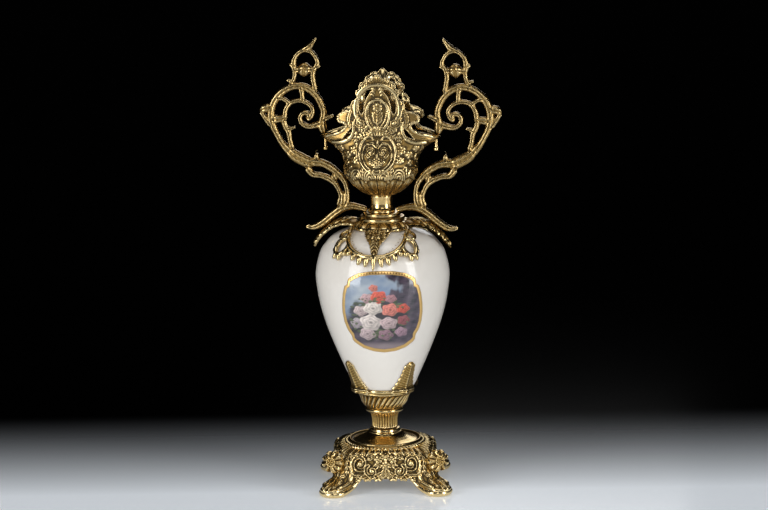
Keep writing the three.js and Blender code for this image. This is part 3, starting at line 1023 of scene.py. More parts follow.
@dataclass(frozen=True)
class GoldBorder:
    """Orange gold of the painting's border, with darker marks where the mesh says so."""

    name: str = "gold_border"
    gold: Colour = (0.74, 0.47, 0.17)
    mark: Colour = (0.16, 0.07, 0.02)

    def material(self) -> bpy.types.Material:
        """Makes the material, which reads the attribute "marks".

        Returns:
            The material.
        """
        shader = Shader(self.name)
        marks = shader.attribute("marks")
        shader.set(
            Base_Color=shader.mix(marks, opaque(self.gold), opaque(self.mark)),
            Metallic=0.75,
            Roughness=0.3,
        )
        return shader.material


def dress(
    obj: bpy.types.Object, material: bpy.types.Material, nodes: Sequence[str] = ()
) -> None:
    """Gives a finished piece its material and body, and hides the solids that it stands for.

    Args:
        obj: the piece.
        material: its finish.
        nodes: the solids that it replaces.
    """
    obj.data.materials.clear()
    obj.data.materials.append(material)
    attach(obj, "root")
    if nodes:
        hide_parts(*nodes)
    triangles = sum(len(p.vertices) - 2 for p in obj.data.polygons)
    LOG.info("%s: %d triangles", obj.name, triangles)


def turned_with_top(obj: bpy.types.Object) -> bpy.types.Object:
    """Turns a piece above the stem by UPPER_TURN, and returns it."""
    obj.data.transform(Matrix.Rotation(UPPER_TURN, 4, "Z"))
    return obj


# Foot


def oval_power(points: np.ndarray, power: np.ndarray) -> np.ndarray:
    """Circles in plan stretched to rounded squares.

    Args:
        points: points (n, 3).
        power: 2 keeps the circle, more squares it.

    Returns:
        The moved points.
    """
    reach = off_axis(points)
    c, s = np.abs(points[:, 0]) / reach, np.abs(points[:, 1]) / reach
    stretch = (c**power + s**power) ** (-1 / power)
    return points * np.stack([stretch, stretch, np.ones_like(stretch)], axis=1)


@dataclass
class Foot:
    """The square foot: a carved skirt that runs out into four toes, a dish and two rosettes in front.

    The rows give [radius, height] of the skirt's outside and of the dish, [height, reach, height] of the
    outside where it runs out into a leg, [radius, height, reach, height] of the inside, and shares of the
    leg's reach and of its height at degrees off the corner.
    """

    panel: float = 59.0
    square: float = 4.6
    columns: int = 576
    crowding: float = 0.08
    scallop_start: float = 9.2
    scallop_pitch: float = 12.6
    scallop_depth: float = 3.4
    rope_strands: int = 64
    rope_radius: float = 46.4
    rope_height: float = 51.0
    rope_bulge: tuple[float, float] = (2.0, 3.4)
    edge_arc: float = 17.0
    edge_radius: float = 58.0
    edge_reach: float = 31.2
    edge_steps: int = 90
    edge_heights: tuple[float, float] = (16.6, 4.0)
    rosette_seat: Point = (62.0, 57.0, 40.0)
    rosette_turn: float = 24.0
    rosette_tilt: float = 10.0
    rosette_radius: float = 14.3
    rosette_lobes: int = 9
    rosette_front: float = 0.72
    rosette_height: float = 7.6
    rosette_root: float = 11.0
    outside: Rows = (
        (56.6, 14.6), (58.3, 15.2), (59.0, 17.6), (58.4, 20.5), (58.8, 28.0), (59.0, 36.0), (58.8, 42.0),
        (56.8, 46.4), (53.0, 49.6), (49.6, 50.3), (47.0, 50.4),
    )
    leg: Rows = (
        (14.6, 31.0, 0.4), (15.2, 33.4, 2.6), (17.6, 33.6, 8.6), (20.5, 27.0, 12.0), (24.0, 15.0, 15.6),
        (28.0, 8.6, 21.6), (34.0, 5.6, 30.0), (40.0, 3.4, 38.6), (44.0, 1.2, 43.4), (47.0, 0.0, 47.0),
        (51.0, 0.0, 51.0),
    )
    inside: Rows = (
        (47.0, 48.6, 0.0, 48.6), (51.0, 46.4, 0.0, 46.0), (54.6, 41.0, 0.0, 38.0), (54.8, 28.0, 2.0, 20.0),
        (54.2, 15.6, 26.0, 0.4),
    )
    flare: Rows = (
        (0, 1), (3, 0.975), (6, 0.915), (8, 0.81), (9.3, 0.64), (10.5, 0.38), (12, 0.17), (14, 0.04),
        (16, 0),
    )
    drop: Rows = ((0, 1), (9, 1), (10.5, 0.84), (12, 0.6), (14, 0.26), (16, 0.07), (18, 0))
    dish: Rows = (
        (0.0, 50.0), (46.0, 50.0), (47.4, 51.4), (46.4, 53.2), (44.2, 54.6), (43.6, 56.0), (42.4, 56.5),
        (41.2, 56.0), (40.2, 54.6), (36.0, 53.2), (0.0, 53.2),
    )

    def carving(self) -> Relief:
        """Carving of one side: blossoms between great C-scrolls, over a scalloped leafy skirt.

        Returns:
            The carving in (distance to the right, height).
        """
        half = Relief()
        half.scroll((31.0, 37.5), 11.4, 250, 1.4, 3.1, 3.8)
        half.scroll((17.0, 28.6), 7.8, 60, -1.2, 2.5, 3.2)
        half.stroke([[6, 52, 1.2], [16, 50.4, 1.8], [26, 51.6, 2.0], [38, 51.6, 1.8], [47, 48, 1.2]], 1.9)
        half.leaf([[2, 27], [8, 22.5], [15, 19.4], [22, 18]], 4.2, 1.9, 4)
        half.leaf([[40, 27], [35, 22.6], [29, 19.8], [23, 18.4]], 4.6, 1.9, 4)
        half.leaf([[22, 42], [17, 45.5], [11, 47]], 3.6, 1.8, 3)
        half.stroke([[0, 15.8, 1.3], [5, 16.4, 1.6], [9, 18, 1.3]], 2.2)
        half.stroke([[9.4, 17.8, 1.3], [15, 15.8, 1.6], [21, 17.8, 1.3]], 2.2)
        half.stroke([[21.4, 17.8, 1.3], [28, 15.8, 1.6], [35, 18.4, 1.3]], 2.2)
        for u in (4.5, 13.5, 22.5, 31.5, 40.5, 50.0):
            half.stroke([[u, 58, 2.6], [u, 54.6, 3.6], [u, 51.4, 3.4]], 2.6)
        half.beads([[8.5, 25.5], [14, 22.4], [22, 22.6], [29, 24.6]], 1.1, 2.9, 1.8)
        half.beads([[23.5, 48.2], [33, 50.2], [42, 47.6]], 1.0, 2.9, 1.6)
        half.bead((38.5, 30.4), 1.9, 2.3)
        half.bead((24.0, 36.6), 1.8, 2.3)
        half.stroke([[44, 46, 1.4], [41.6, 38, 1.9], [40.4, 29, 2], [41.4, 22.5, 1.7], [44.4, 20, 1.2]], 2.6)
        half.scroll((49.6, 24.0), 5.0, 110, -1.2, 1.5, 2.6)
        half.leaf([[55, 49], [49.4, 45], [46, 38], [45.4, 30]], 4.4, 2.2, 5)
        half.stroke([[59, 52, 1.6], [59, 46, 2.6], [59, 36, 2.2]], 2.2)
        half.leaf([[59, 26], [56, 23], [52, 20.4]], 3.4, 1.8, 3)
        half.stroke([[59, 31, 1.4], [59, 24, 2.0], [59, 19, 1.6]], 2.4)
        whole = Relief()
        whole.mirror(half)
        whole.blossom((0.0, 45.4), 5.0, 6, 3.0)
        whole.blossom((-8.6, 42.6), 4.6, 5, 2.8)
        whole.blossom((8.6, 42.6), 4.6, 5, 2.8)
        whole.blossom((0.0, 35.4), 5.4, 7, 3.3)
        whole.leaf([[0, 32], [0, 27], [0, 20.5]], 6.4, 2.6, 5)
        whole.leaf([[-4, 36], [-9.6, 34.4], [-13.6, 36.8]], 3.2, 2.1, 3)
        whole.leaf([[4, 36], [9.6, 34.4], [13.6, 36.8]], 3.2, 2.1, 3)
        return whole

    def off_corner(self, angle: np.ndarray) -> np.ndarray:
        """Degrees between angles about the axis and the nearest corner."""
        return np.abs(np.degrees(angle) % 90 - 45)

    def shell(self) -> bpy.types.Object:
        """The skirt, its shoulder and the legs that it runs out into, carved on all four sides.

        Returns:
            The object.
        """
        carving = self.carving()
        fine = along(curve(self.outside), np.linspace(0, 1, 96))
        outward_reach, leg_height = column(self.leg, fine[:, 1], 1), column(self.leg, fine[:, 1], 2)
        section = np.vstack([np.column_stack([fine, outward_reach, leg_height]), np.asarray(self.inside)])
        rows = len(section)
        looped = np.vstack([section, section[:1]])

        def place(s: np.ndarray, t: np.ndarray) -> np.ndarray:
            """Wraps the grid round the shell.

            Args:
                s: places round the form or across it, from 0 to 1.
                t: places along the other way of the grid, from 0 to 1.

            Returns:
                The points, in millimetres.
            """
            radius, height, reach, low = read(looped, np.arange(rows + 1), t * rows).T
            angle = s * TURN + self.crowding * np.sin(4 * s * TURN)
            points = about_axis(radius, angle, height)
            points = oval_power(points, np.interp(height, [41, 50], [self.square, 2.0]))
            side = np.minimum(np.abs(points[:, 0]), np.abs(points[:, 1]))
            wave = np.abs(np.sin(math.pi * (side - self.scallop_start) / self.scallop_pitch))
            scallop = np.where(side < 36, self.scallop_depth * wave, 2.6)
            off = self.off_corner(angle)
            drop = column(self.drop, off)
            stretch = reach * column(self.flare, off) / np.maximum(np.hypot(points[:, 0], points[:, 1]), 1)
            points[:, :2] *= 1 + stretch[:, None]
            points[:, 2] += drop * (low - height) + (1 - drop) * smooth(22.0, 14.0, height) * scallop
            return points

        obj = lattice("foot_shell", self.columns, rows, place)
        points = vertices(obj)
        outward = normals(obj)
        angle = np.arctan2(points[:, 0], -points[:, 1])
        quarter = np.round(angle / (math.pi / 2)) * (math.pi / 2)
        u = self.panel * np.tan(angle - quarter)
        reach = np.hypot(points[:, 0], points[:, 1])
        depth = reach * np.cos(angle - quarter)
        drop = column(self.drop, self.off_corner(angle))
        leg = np.asarray(self.leg)
        v = (1 - drop) * points[:, 2] + drop * np.interp(points[:, 2], leg[:, 2], leg[:, 0])
        v += 0.55 * np.maximum(0, self.panel - depth) * (points[:, 2] > 44)
        facing = (outward[:, 0] * points[:, 0] + outward[:, 1] * points[:, 1]) / reach
        seen = (facing > 0.05) | ((points[:, 2] > 45) & (outward[:, 2] > 0))
        rise = carving.rise(u, v) * seen * smooth(46.6, 49.0, reach)
        return move(obj, points + outward * rise[:, None])

    def rope(self) -> bpy.types.Object:
        """The slanted rope edge round the dish.

        Returns:
            The object.
        """

        def place(s: np.ndarray, t: np.ndarray) -> np.ndarray:
            """Wraps the grid round the ring.

            Args:
                s: places round the form or across it, from 0 to 1.
                t: places along the other way of the grid, from 0 to 1.

            Returns:
                The points, in millimetres.
            """
            angle, turn = s * TURN, t * TURN
            thin, thick = self.rope_bulge
            bulge = thin + (thick - thin) * np.abs(np.sin(angle * self.rope_strands / 2 + turn)) ** 0.8
            height = self.rope_height + 0.9 * bulge * np.sin(turn)
            return about_axis(self.rope_radius + bulge * np.cos(turn), angle, height)

        return lattice("foot_rope", self.rope_strands * 8, 14, place)

    def edge(self) -> bpy.types.Object:
        """The smooth band along the lower edge of one leg and round its toe, towards +X and -Y.

        Returns:
            The object.
        """
        off = np.linspace(-self.edge_arc, self.edge_arc, self.edge_steps)
        share, drop = column(self.flare, np.abs(off)), column(self.drop, np.abs(off))
        circle = about_axis(self.edge_radius, np.radians(45 + off), np.zeros_like(off))
        base = oval_power(circle, np.full_like(off, self.square))
        base[:, :2] *= (1 + (self.edge_reach * share) / off_axis(base))[:, None]
        high, low = self.edge_heights
        base[:, 2] = high * (1 - drop) + low * drop
        band = rod("edge", base, np.interp(drop, [0, 0.6, 1], [1.5, 2.8, 4.0]), 14)
        points = vertices(band)
        points[:, 2] = np.maximum(points[:, 2], 0.05)
        return move(band, points)

    def rosette(self) -> bpy.types.Object:
        """The shell-like rosette on a front corner, a lobed dome that faces out and a little up.

        Returns:
            The object.
        """
        carving = Relief()
        for i in range(self.rosette_lobes):
            way = way_at(TURN * (i + 0.5) / self.rosette_lobes)
            root, knee, tip = 3.4 * way, 7.5 * way, 11.8 * way
            carving.stroke([[*root, 1.0], [*knee, 2.3], [*tip, 3.4]], 2.4)
            carving.bead((12.4 * way[0], 12.4 * way[1]), 1.9, 3.2)
        carving.ring((0, 0), (5.2, 5.2), 0.9, 2.5)
        carving.blossom((0, 0), 4.2, 5, 3.2)

        def place(s: np.ndarray, t: np.ndarray) -> np.ndarray:
            """Wraps the grid to a lobed dome whose back runs in to the leg.

            Args:
                s: places round the form or across it, from 0 to 1.
                t: places along the other way of the grid, from 0 to 1.

            Returns:
                The points, in millimetres.
            """
            angle = s * TURN
            edge = self.rosette_radius * (0.88 + 0.12 * np.abs(np.sin(angle * self.rosette_lobes / 2)))
            front = t < self.rosette_front
            share = np.where(front, t / self.rosette_front, (1 - t) / (1 - self.rosette_front))
            p, q = edge * share * np.cos(angle), edge * share * np.sin(angle)
            carved = carving.rise(p, q) * smooth(1.0, 0.93, share)
            dome = self.rosette_height * np.sqrt(np.clip(1 - share**2.4, 0, 1)) + carved
            height = np.where(front, dome, -self.rosette_root * (1 - share**2))
            tilt, turn = math.radians(self.rosette_tilt), math.radians(self.rosette_turn)
            out = height * math.cos(tilt) - q * math.sin(tilt)
            x, y, z = self.rosette_seat
            x = x + out * math.sin(turn) + p * math.cos(turn)
            y = -y - out * math.cos(turn) + p * math.sin(turn)
            return np.stack([x, y, z + q * math.cos(tilt) + height * math.sin(tilt)], axis=1)

        return lattice("rosette", 144, 52, place)

    def make(self, gilt: bpy.types.Material) -> None:
        """Builds and dresses the foot.

        Args:
            gilt: finish of the cast brass.
        """
        rosette = self.rosette()
        rosettes = [rosette, copied(rosette, MIRROR_X)]
        corners = joined("foot_corners", [*rosettes, around("edges", self.edge(), SIDES)])
        dish = turned("foot_dish", rounded(self.dish, 0.9), 120)
        shell = joined("carved_foot", [self.shell(), self.rope(), dish])
        painted_light_and_patina(shell)
        painted_light_and_patina(corners)
        dress(shell, gilt, ["base_foot"])
        dress(corners, gilt)


# Pedestal, stem and calyx


@dataclass
class Stem:
    """The polished pedestal flare in the dish, and the fluted stem with its ring."""

    flutes: int = 28
    flute_depth: float = 1.7
    flare: Rows = (
        (0, 53.8), (38.4, 53.8), (38.6, 54.4), (35.2, 55.3), (30.6, 57.0), (26.0, 59.0), (22.2, 61.3),
        (20.2, 63.6), (20.2, 64.4), (18.6, 65.0), (18.4, 66.6), (18.0, 68.4), (0, 69.0),
    )
    column: Rows = (
        (0, 69.4), (15.4, 69.4), (15.6, 70.4), (15.3, 76.0), (15.5, 80.0), (16.4, 84.6), (18.0, 88.0),
        (18.0, 90.0), (0, 90.0),
    )
    ring: Rows = (
        (0, 88.8), (20.4, 88.8), (21.4, 89.4), (22.6, 90.0), (23.3, 91.8), (22.6, 93.6), (21.6, 94.3),
        (0, 94.3),
    )

    def make(self, gilt: bpy.types.Material, polished: bpy.types.Material) -> None:
        """Builds and dresses the pedestal and the stem.

        Args:
            gilt: finish of the cast brass.
            polished: finish of the turned brass.
        """
        pedestal = turned("turned_pedestal", rounded(self.flare, 0.8), 120)
        dress(pedestal, polished, ["pedestal"])
        shaft = turned("shaft", fine_profile(self.column, 1.2, 60), self.flutes * 12)
        points = vertices(shaft)
        reach = off_axis(points)
        phase = np.abs(np.sin(self.flutes * np.arctan2(points[:, 0], points[:, 1]) / 2))
        fluted = smooth(69.8, 71.4, points[:, 2]) * smooth(89.4, 87.6, points[:, 2]) * (reach > 12)
        points[:, :2] *= (1 + self.flute_depth * (phase**0.6 - 1) * fluted / reach)[:, None]
        ring = turned("ring", rounded(self.ring, 0.8), 120)
        stem = joined("stem_and_ring", [move(shaft, points), ring])
        painted_light_and_patina(stem)
        dress(stem, gilt, ["fluted_stem"])


BODY_SIDE = curve([
    (38.6, 125.2), (50.4, 151.8), (60.6, 176.3), (69.6, 200.8), (76.2, 225.3), (80.1, 252.0), (79.4, 268.0),
    (74.4, 286.5), (68.0, 296.0), (61.0, 303.6), (50.0, 309.8), (30.0, 316.0),
])


def body_radius(height: np.ndarray) -> np.ndarray:
    """Outer radius of the porcelain at heights."""
    return np.interp(height, BODY_SIDE[:, 1], BODY_SIDE[:, 0])


@dataclass
class Calyx:
    """The gadrooned cup under the porcelain, with its rim band and four leaf prongs."""

    gadroons: int = 28
    gadroon_depth: float = 2.2
    twist: float = 22.0
    base: float = 94.6
    band_height: float = 18.7
    prong_bottom: float = 117.0
    prong_top: float = 158.0
    prong_half_angle: float = 23.5
    prong_gap: float = 0.5
    prong_depth: float = 2.4
    profile: Rows = (
        (0, 94.6), (21.0, 94.6), (23.6, 96.2), (25.8, 98.4), (28.0, 101.8), (29.6, 106.4), (31.2, 110.0),
        (33.0, 113.2), (34.2, 113.8), (35.0, 115.0), (34.4, 116.4), (35.2, 117.6), (35.2, 120.2),
        (34.0, 121.0), (0, 121.0),
    )
    prong_width: Rows = (
        (0, 1.0), (0.1, 0.98), (0.22, 0.86), (0.36, 0.66), (0.55, 0.48), (0.75, 0.40), (0.9, 0.33), (1, 0.10),
    )
    prong_bow: Rows = ((0, 1), (0.5, 0.8), (0.93, 0.6), (1, 0))

    def cup(self) -> bpy.types.Object:
        """The cup with its slanting gadroons.

        Returns:
            The object.
        """
        obj = turned("calyx_cup", fine_profile(self.profile, 0.7, 110), self.gadroons * 10)
        points = vertices(obj)
        reach = off_axis(points)
        climb = (points[:, 2] - self.base) / self.band_height
        angle = np.arctan2(points[:, 0], points[:, 1]) + math.radians(self.twist) * climb
        phase = np.abs(np.sin(self.gadroons * angle / 2))
        band = smooth(95.4, 97.4, points[:, 2]) * smooth(113.4, 111.6, points[:, 2])
        sunk = self.gadroon_depth * (phase**0.6 - 1) * band * (reach > 20)
        points[:, :2] *= (1 + sunk / reach)[:, None]
        return move(obj, points)

    def prong(self) -> bpy.types.Object:
        """One leaf that hugs the porcelain, towards -Y.

        Returns:
            The object.
        """

        def place(s: np.ndarray, t: np.ndarray) -> np.ndarray:
            """Wraps the grid to the leaf.

            Args:
                s: places round the form or across it, from 0 to 1.
                t: places along the other way of the grid, from 0 to 1.

            Returns:
                The points, in millimetres.
            """
            front, across = two_faces(s, LEAF_FRONT)
            height = self.prong_bottom + (self.prong_top - self.prong_bottom) * t
            seat = body_radius(height) + self.prong_gap
            base = np.where(t > 0.14, seat, np.maximum(seat, np.interp(t, [0, 0.12], [34.5, 41.0])))
            half = math.radians(self.prong_half_angle) * column(self.prong_width, t)
            teeth = 1 + 0.10 * np.abs(np.sin(t * 24)) * smooth(1.0, 0.9, t)
            veins = 0.4 * np.abs(np.sin(t * 44 - np.abs(across) * 5.4)) * (1 - across**2)
            rib = 1.3 * np.exp(-((across / 0.14) ** 2))
            edge = 0.5 * np.exp(-(((np.abs(across) - 0.86) / 0.1) ** 2))
            bow = self.prong_depth * arch(across) * column(self.prong_bow, t)
            lift = 0.6 + bow + (veins + rib + edge) * smooth(1.0, 0.92, t)
            lift += 1.4 * np.exp(-(((t - 0.06) / 0.05) ** 2)) * (1 - across**2)
            angle = across * half * np.where(front, teeth, 1)
            return about_axis(base + np.where(front, lift, 0), angle, height)

        return lattice("prong", 76, 70, place)

    def make(self, gilt: bpy.types.Material) -> None:
        """Builds and dresses the calyx.

        Args:
            gilt: finish of the cast brass.
        """
        prongs = around("prongs", self.prong(), CORNERS)
        calyx = joined("leafy_calyx", [self.cup(), prongs])
        painted_light_and_patina(calyx)
        dress(turned_with_top(calyx), gilt, ["calyx"])


# Porcelain body and its picture


def patches(u: np.ndarray, v: np.ndarray, size: float, seed: int) -> np.ndarray:
    """Soft cloudy noise over a sheet, from 0 to 1.

    Args:
        u: first coordinate of each point.
        v: second coordinate of each point.
        size: size of the largest clouds, in millimetres.
        seed: seed of the noise.

    Returns:
        The noise at each point.
    """
    rng = np.random.default_rng(seed)
    total = np.zeros(len(u))
    for octave in range(4):
        for _ in range(5):
            angle, phase = rng.uniform(0, TURN, 2)
            wave = TURN * 2**octave / size * rng.uniform(0.7, 1.3)
            total += np.sin(wave * (u * math.cos(angle) + v * math.sin(angle)) + phase) / 2**octave
    return np.clip(0.5 + total / 9.0, 0, 1)


@dataclass
class Picture:
    """A bouquet of roses, painted on the front of the body inside a notched gold border."""

    middle_x: float = 9.6
    middle_z: float = 225.6
    sheet_lift: float = 0.14
    border: float = 4.4
    border_lift: float = 0.12
    border_rise: float = 0.28
    stretch: float = 1.2
    seed: int = 21
    corners: Rows = (
        (0.0, 51.4), (14.0, 50.8), (28.0, 48.0), (37.0, 43.6), (41.5, 40.6), (42.4, 37.6), (43.0, 33.6),
        (46.6, 31.6), (49.6, 22.0), (51.3, 8.0), (51.3, -2.0), (49.4, -14.0), (45.4, -24.0), (40.4, -30.6),
        (39.6, -33.0), (39.4, -36.4), (36.4, -39.6), (26.0, -46.0), (13.0, -50.0), (0.0, -51.4),
    )
    roses: tuple[tuple[float, float, float, Colour], ...] = (
        (-26, -14, 7.4, (0.50, 0.42, 0.44)), (-16, -27, 8.4, (0.60, 0.46, 0.46)),
        (2, -28, 7.6, (0.34, 0.20, 0.24)), (18, -25, 6.6, (0.42, 0.26, 0.32)),
        (-22, 2, 7.2, (0.66, 0.52, 0.50)), (-12, -12, 11.0, (0.80, 0.70, 0.64)),
        (6, -13, 8.6, (0.62, 0.46, 0.46)), (21, -10, 6.6, (0.34, 0.10, 0.11)),
        (-9, 6, 9.4, (0.84, 0.74, 0.66)), (8, 4, 8.6, (0.80, 0.26, 0.20)),
        (21, 5, 6.6, (0.70, 0.12, 0.08)), (-15, 18, 6.6, (0.62, 0.40, 0.40)),
        (-3, 20, 8.2, (0.76, 0.14, 0.09)), (9, 18, 5.6, (0.48, 0.24, 0.26)),
        (-8, 31, 4.8, (0.72, 0.24, 0.18)),
    )

    def outline(self) -> np.ndarray:
        """Points of the border's outer edge, all the way round."""
        half = np.asarray(self.corners, float)
        return np.vstack([half, (half * [-1, 1])[-2:0:-1], half[:1]])

    def reach(self, angle: np.ndarray) -> np.ndarray:
        """Distance of the border's outer edge from the middle of the picture at angles.

        Args:
            angle: the angles, from the right.

        Returns:
            The distance at each angle.
        """
        x, z = along(self.outline(), np.linspace(0, 1, 2000)).T
        at = np.arctan2(z, x)
        order = np.argsort(at)
        return np.interp(angle, at[order], np.hypot(x, z)[order], period=TURN)

    def on_body(self, x: np.ndarray, z: np.ndarray, lift: Union[float, np.ndarray]) -> np.ndarray:
        """Points of the picture's sheet laid on the porcelain, `lift` above it.

        Args:
            x: distances to the right of the middle.
            z: distances above the middle.
            lift: height above the porcelain.

        Returns:
            The points, in millimetres.
        """
        height = self.middle_z + z
        radius = body_radius(height)
        return about_axis(radius + lift, (x + self.middle_x) / radius, height)

    def on_sheet(self, obj: bpy.types.Object) -> tuple[np.ndarray, np.ndarray]:
        """Distances of an object's points on the porcelain from the middle of the picture's sheet.

        Args:
            obj: the object, laid by `on_body`.

        Returns:
            The distances to the right and upwards.
        """
        points = vertices(obj)
        x = np.arctan2(points[:, 0], -points[:, 1]) * body_radius(points[:, 2]) - self.middle_x
        return x, points[:, 2] - self.middle_z

    def paint(self, x: np.ndarray, z: np.ndarray) -> np.ndarray:
        """Colours of the painting at points of its sheet.

        Args:
            x: distance to the right of the middle.
            z: distance above the middle.

        Returns:
            Rows of red, green and blue.
        """
        x = x / self.stretch
        cloud = patches(x, z, 46, 3)[:, None]
        mottle = patches(x, z, 13, 5)[:, None]
        sky = np.array([0.14, 0.22, 0.36]) * (1 - cloud) + np.array([0.50, 0.54, 0.56]) * cloud
        leaves = np.array([0.022, 0.022, 0.030]) * (1 - mottle) + np.array([0.12, 0.09, 0.12]) * mottle
        tree = smooth(0, 14, x + 10 * (patches(x, z, 26, 8) - 0.5) * 3 - 4) * smooth(-30, 6, z)
        dusk = smooth(8, -16, z + 14 * (patches(x, z, 30, 9) - 0.5))
        shade = np.clip(tree + dusk, 0, 1)[:, None]
        colours = sky * (1 - shade) + leaves * shade

        def blob(cx: float, cz: float, rx: float, rz: float, tone: Colour, edge: float = 0.3) -> None:
            """Lays one soft-edged patch of colour over the painting.

            Args:
                cx: its middle, to the right.
                cz: its middle, upwards.
                rx: its half-width.
                rz: its half-height.
                tone: its colour.
                edge: softness of its edge.
            """
            nonlocal colours
            far = np.hypot((x - cx) / rx, (z - cz) / rz) + 0.25 * (mottle[:, 0] - 0.5)
            cover = smooth(1 + edge, 1 - edge, far)[:, None]
            light = 1.12 - 0.32 * far[:, None] + 0.15 * (z - cz)[:, None] / rz
            colours = colours * (1 - cover) + np.asarray(tone) * np.clip(light, 0.4, 1.3) * cover

        def rose(cx: float, cz: float, radius: float, tone: Colour) -> None:
            """Lays one rose: rings of petals, darker in their seams, lit from the upper left.

            Args:
                cx: its middle, to the right.
                cz: its middle, upwards.
                radius: its radius.
                tone: its colour in full light.
            """
            nonlocal colours
            angle = np.arctan2(z - cz, x - cx)
            far = np.hypot(x - cx, (z - cz) * 1.1) / (radius * (1 + 0.09 * np.sin(5 * angle + cx)))
            ring = np.clip(np.floor(far * 3), 0, 2)
            seam = np.abs(np.sin((1.0 + ring) * angle + 2.3 * ring + cx)) ** 0.35
            light = (0.62 + 0.42 * (far * 3 - ring)) * (0.55 + 0.45 * seam)
            light *= 0.45 + 0.55 * smooth(0.0, 0.3, far)
            light *= 1.02 + 0.34 * far * np.cos(angle - 0.72 * math.pi)
            cover = smooth(1.04, 0.9, far + 0.14 * (mottle[:, 0] - 0.5))[:, None]
            lit = np.asarray(tone) * np.clip(light, 0.15, 1.25)[:, None]
            colours = colours * (1 - cover) + lit * cover

        rng = np.random.default_rng(self.seed)
        for _ in range(60):
            angle, far = rng.uniform(0, TURN), rng.uniform(6, 29)
            cx, cz = -2 + far * math.cos(angle), -2 + far * 0.95 * math.sin(angle)
            blob(cx, cz, rng.uniform(2.0, 5.0), rng.uniform(1.4, 3.0), (0.07, 0.10, 0.045), 0.35)
        blob(-5, -8, 29, 27, (0.045, 0.04, 0.045), 0.16)
        for _ in range(70):
            angle, far = rng.uniform(0, TURN), rng.uniform(12, 31)
            cx, cz = -4 + far * math.cos(angle), -6 + far * 0.92 * math.sin(angle)
            blob(cx, cz, rng.uniform(1.6, 4.2), rng.uniform(1.0, 2.4), (0.10, 0.12, 0.065), 0.3)
        for cx, cz, radius, tone in self.roses:
            rose(cx, cz, radius, tone)
        for _ in range(26):
            angle, far = rng.uniform(0, TURN), rng.uniform(22, 30)
            cx, cz = -4 + far * math.cos(angle), -6 + far * 0.95 * math.sin(angle)
            blob(cx, cz, rng.uniform(1.0, 2.2), rng.uniform(0.8, 1.5), (0.12, 0.15, 0.08), 0.3)
        blob(0, -45, 34, 6, (0.24, 0.19, 0.20), 0.5)
        return np.clip(colours, 0.01, 1)

    def make(self, painting: bpy.types.Material, gold: bpy.types.Material) -> None:
        """Builds and dresses the painting and its border.

        Args:
            painting: finish of the painting.
            gold: finish of the border.
        """

        def square(s: np.ndarray, t: np.ndarray) -> tuple[np.ndarray, np.ndarray]:
            """Square grid drawn out to the border's shape, as distances from the middle.

            Args:
                s: places round the form or across it, from 0 to 1.
                t: places along the other way of the grid, from 0 to 1.

            Returns:
                Distances to the right and upwards.
            """
            p, q = 2 * s - 1, 2 * t - 1
            share = np.maximum(np.abs(p), np.abs(q))
            angle = np.arctan2(q, p)
            reach = (self.reach(angle) - self.border + 0.6) * share
            return reach * np.cos(angle), reach * np.sin(angle)

        def sheet(s: np.ndarray, t: np.ndarray) -> np.ndarray:
            """Lays the painting on the porcelain."""
            x, z = square(s, t)
            return self.on_body(x, z, self.sheet_lift)

        picture = lattice("painted_picture", 176, 184, sheet)
        painted(picture, "paint", self.paint(*self.on_sheet(picture)))
        dress(turned_with_top(picture), painting)

        def band(s: np.ndarray, t: np.ndarray) -> np.ndarray:
            """Wraps the grid to the flat gold band round the painting.

            Args:
                s: places round the form or across it, from 0 to 1.
                t: places along the other way of the grid, from 0 to 1.

            Returns:
                The points, in millimetres.
            """
            angle = s * TURN
            reach = self.reach(angle) - self.border * t
            lift = self.border_lift + self.border_rise * np.sin(math.pi * t) ** 0.5
            return self.on_body(reach * np.cos(angle), reach * np.sin(angle), lift)

        border = lattice("picture_border", 720, 14, band)
        x, z = self.on_sheet(border)
        across = (self.reach(np.arctan2(z, x)) - np.hypot(x, z)) / self.border
        upper = smooth(36, 40, z)
        lozenge = np.abs(np.sin(x * 0.9)) + np.abs(across - 0.5) * 2.4
        line = smooth(0.07, 0.02, np.abs(across - 0.96)) + smooth(0.07, 0.02, np.abs(across - 0.04))
        marks = np.clip(upper * smooth(0.9, 0.6, lozenge) + 0.6 * line, 0, 1)
        marked(border, "marks", marks)
        dress(turned_with_top(border), gold)


@dataclass
class Body:
    """The hollow porcelain body."""

    mouth: float = 22.0
    top: float = 318.0
    bottom: float = 121.4
    inside: Rows = ((46, 305), (62, 295), (73.5, 276), (75, 252), (64.6, 200.8), (30, 127), (0, 127))

    def make(self, porcelain: bpy.types.Material) -> None:
        """Builds and dresses the body.

        Args:
            porcelain: finish of the glaze.
        """
        foot = [(0, self.bottom), (35, self.bottom), (37, self.bottom + 1)]
        lip = [(self.mouth + 1, self.top), (self.mouth, self.top - 1), (self.mouth, 312)]
        body = turned("porcelain_vase_body", [*foot, *BODY_SIDE, *lip, *self.inside], 160)
        dress(turned_with_top(body), porcelain, ["porcelain_body"])


# Shoulder mount


def shoulder_height(radius: np.ndarray) -> np.ndarray:
    """Height of the porcelain's shoulder at radii."""
    shoulder = BODY_SIDE[BODY_SIDE[:, 1] > 268][::-1]
    return np.interp(radius, shoulder[:, 0], shoulder[:, 1])


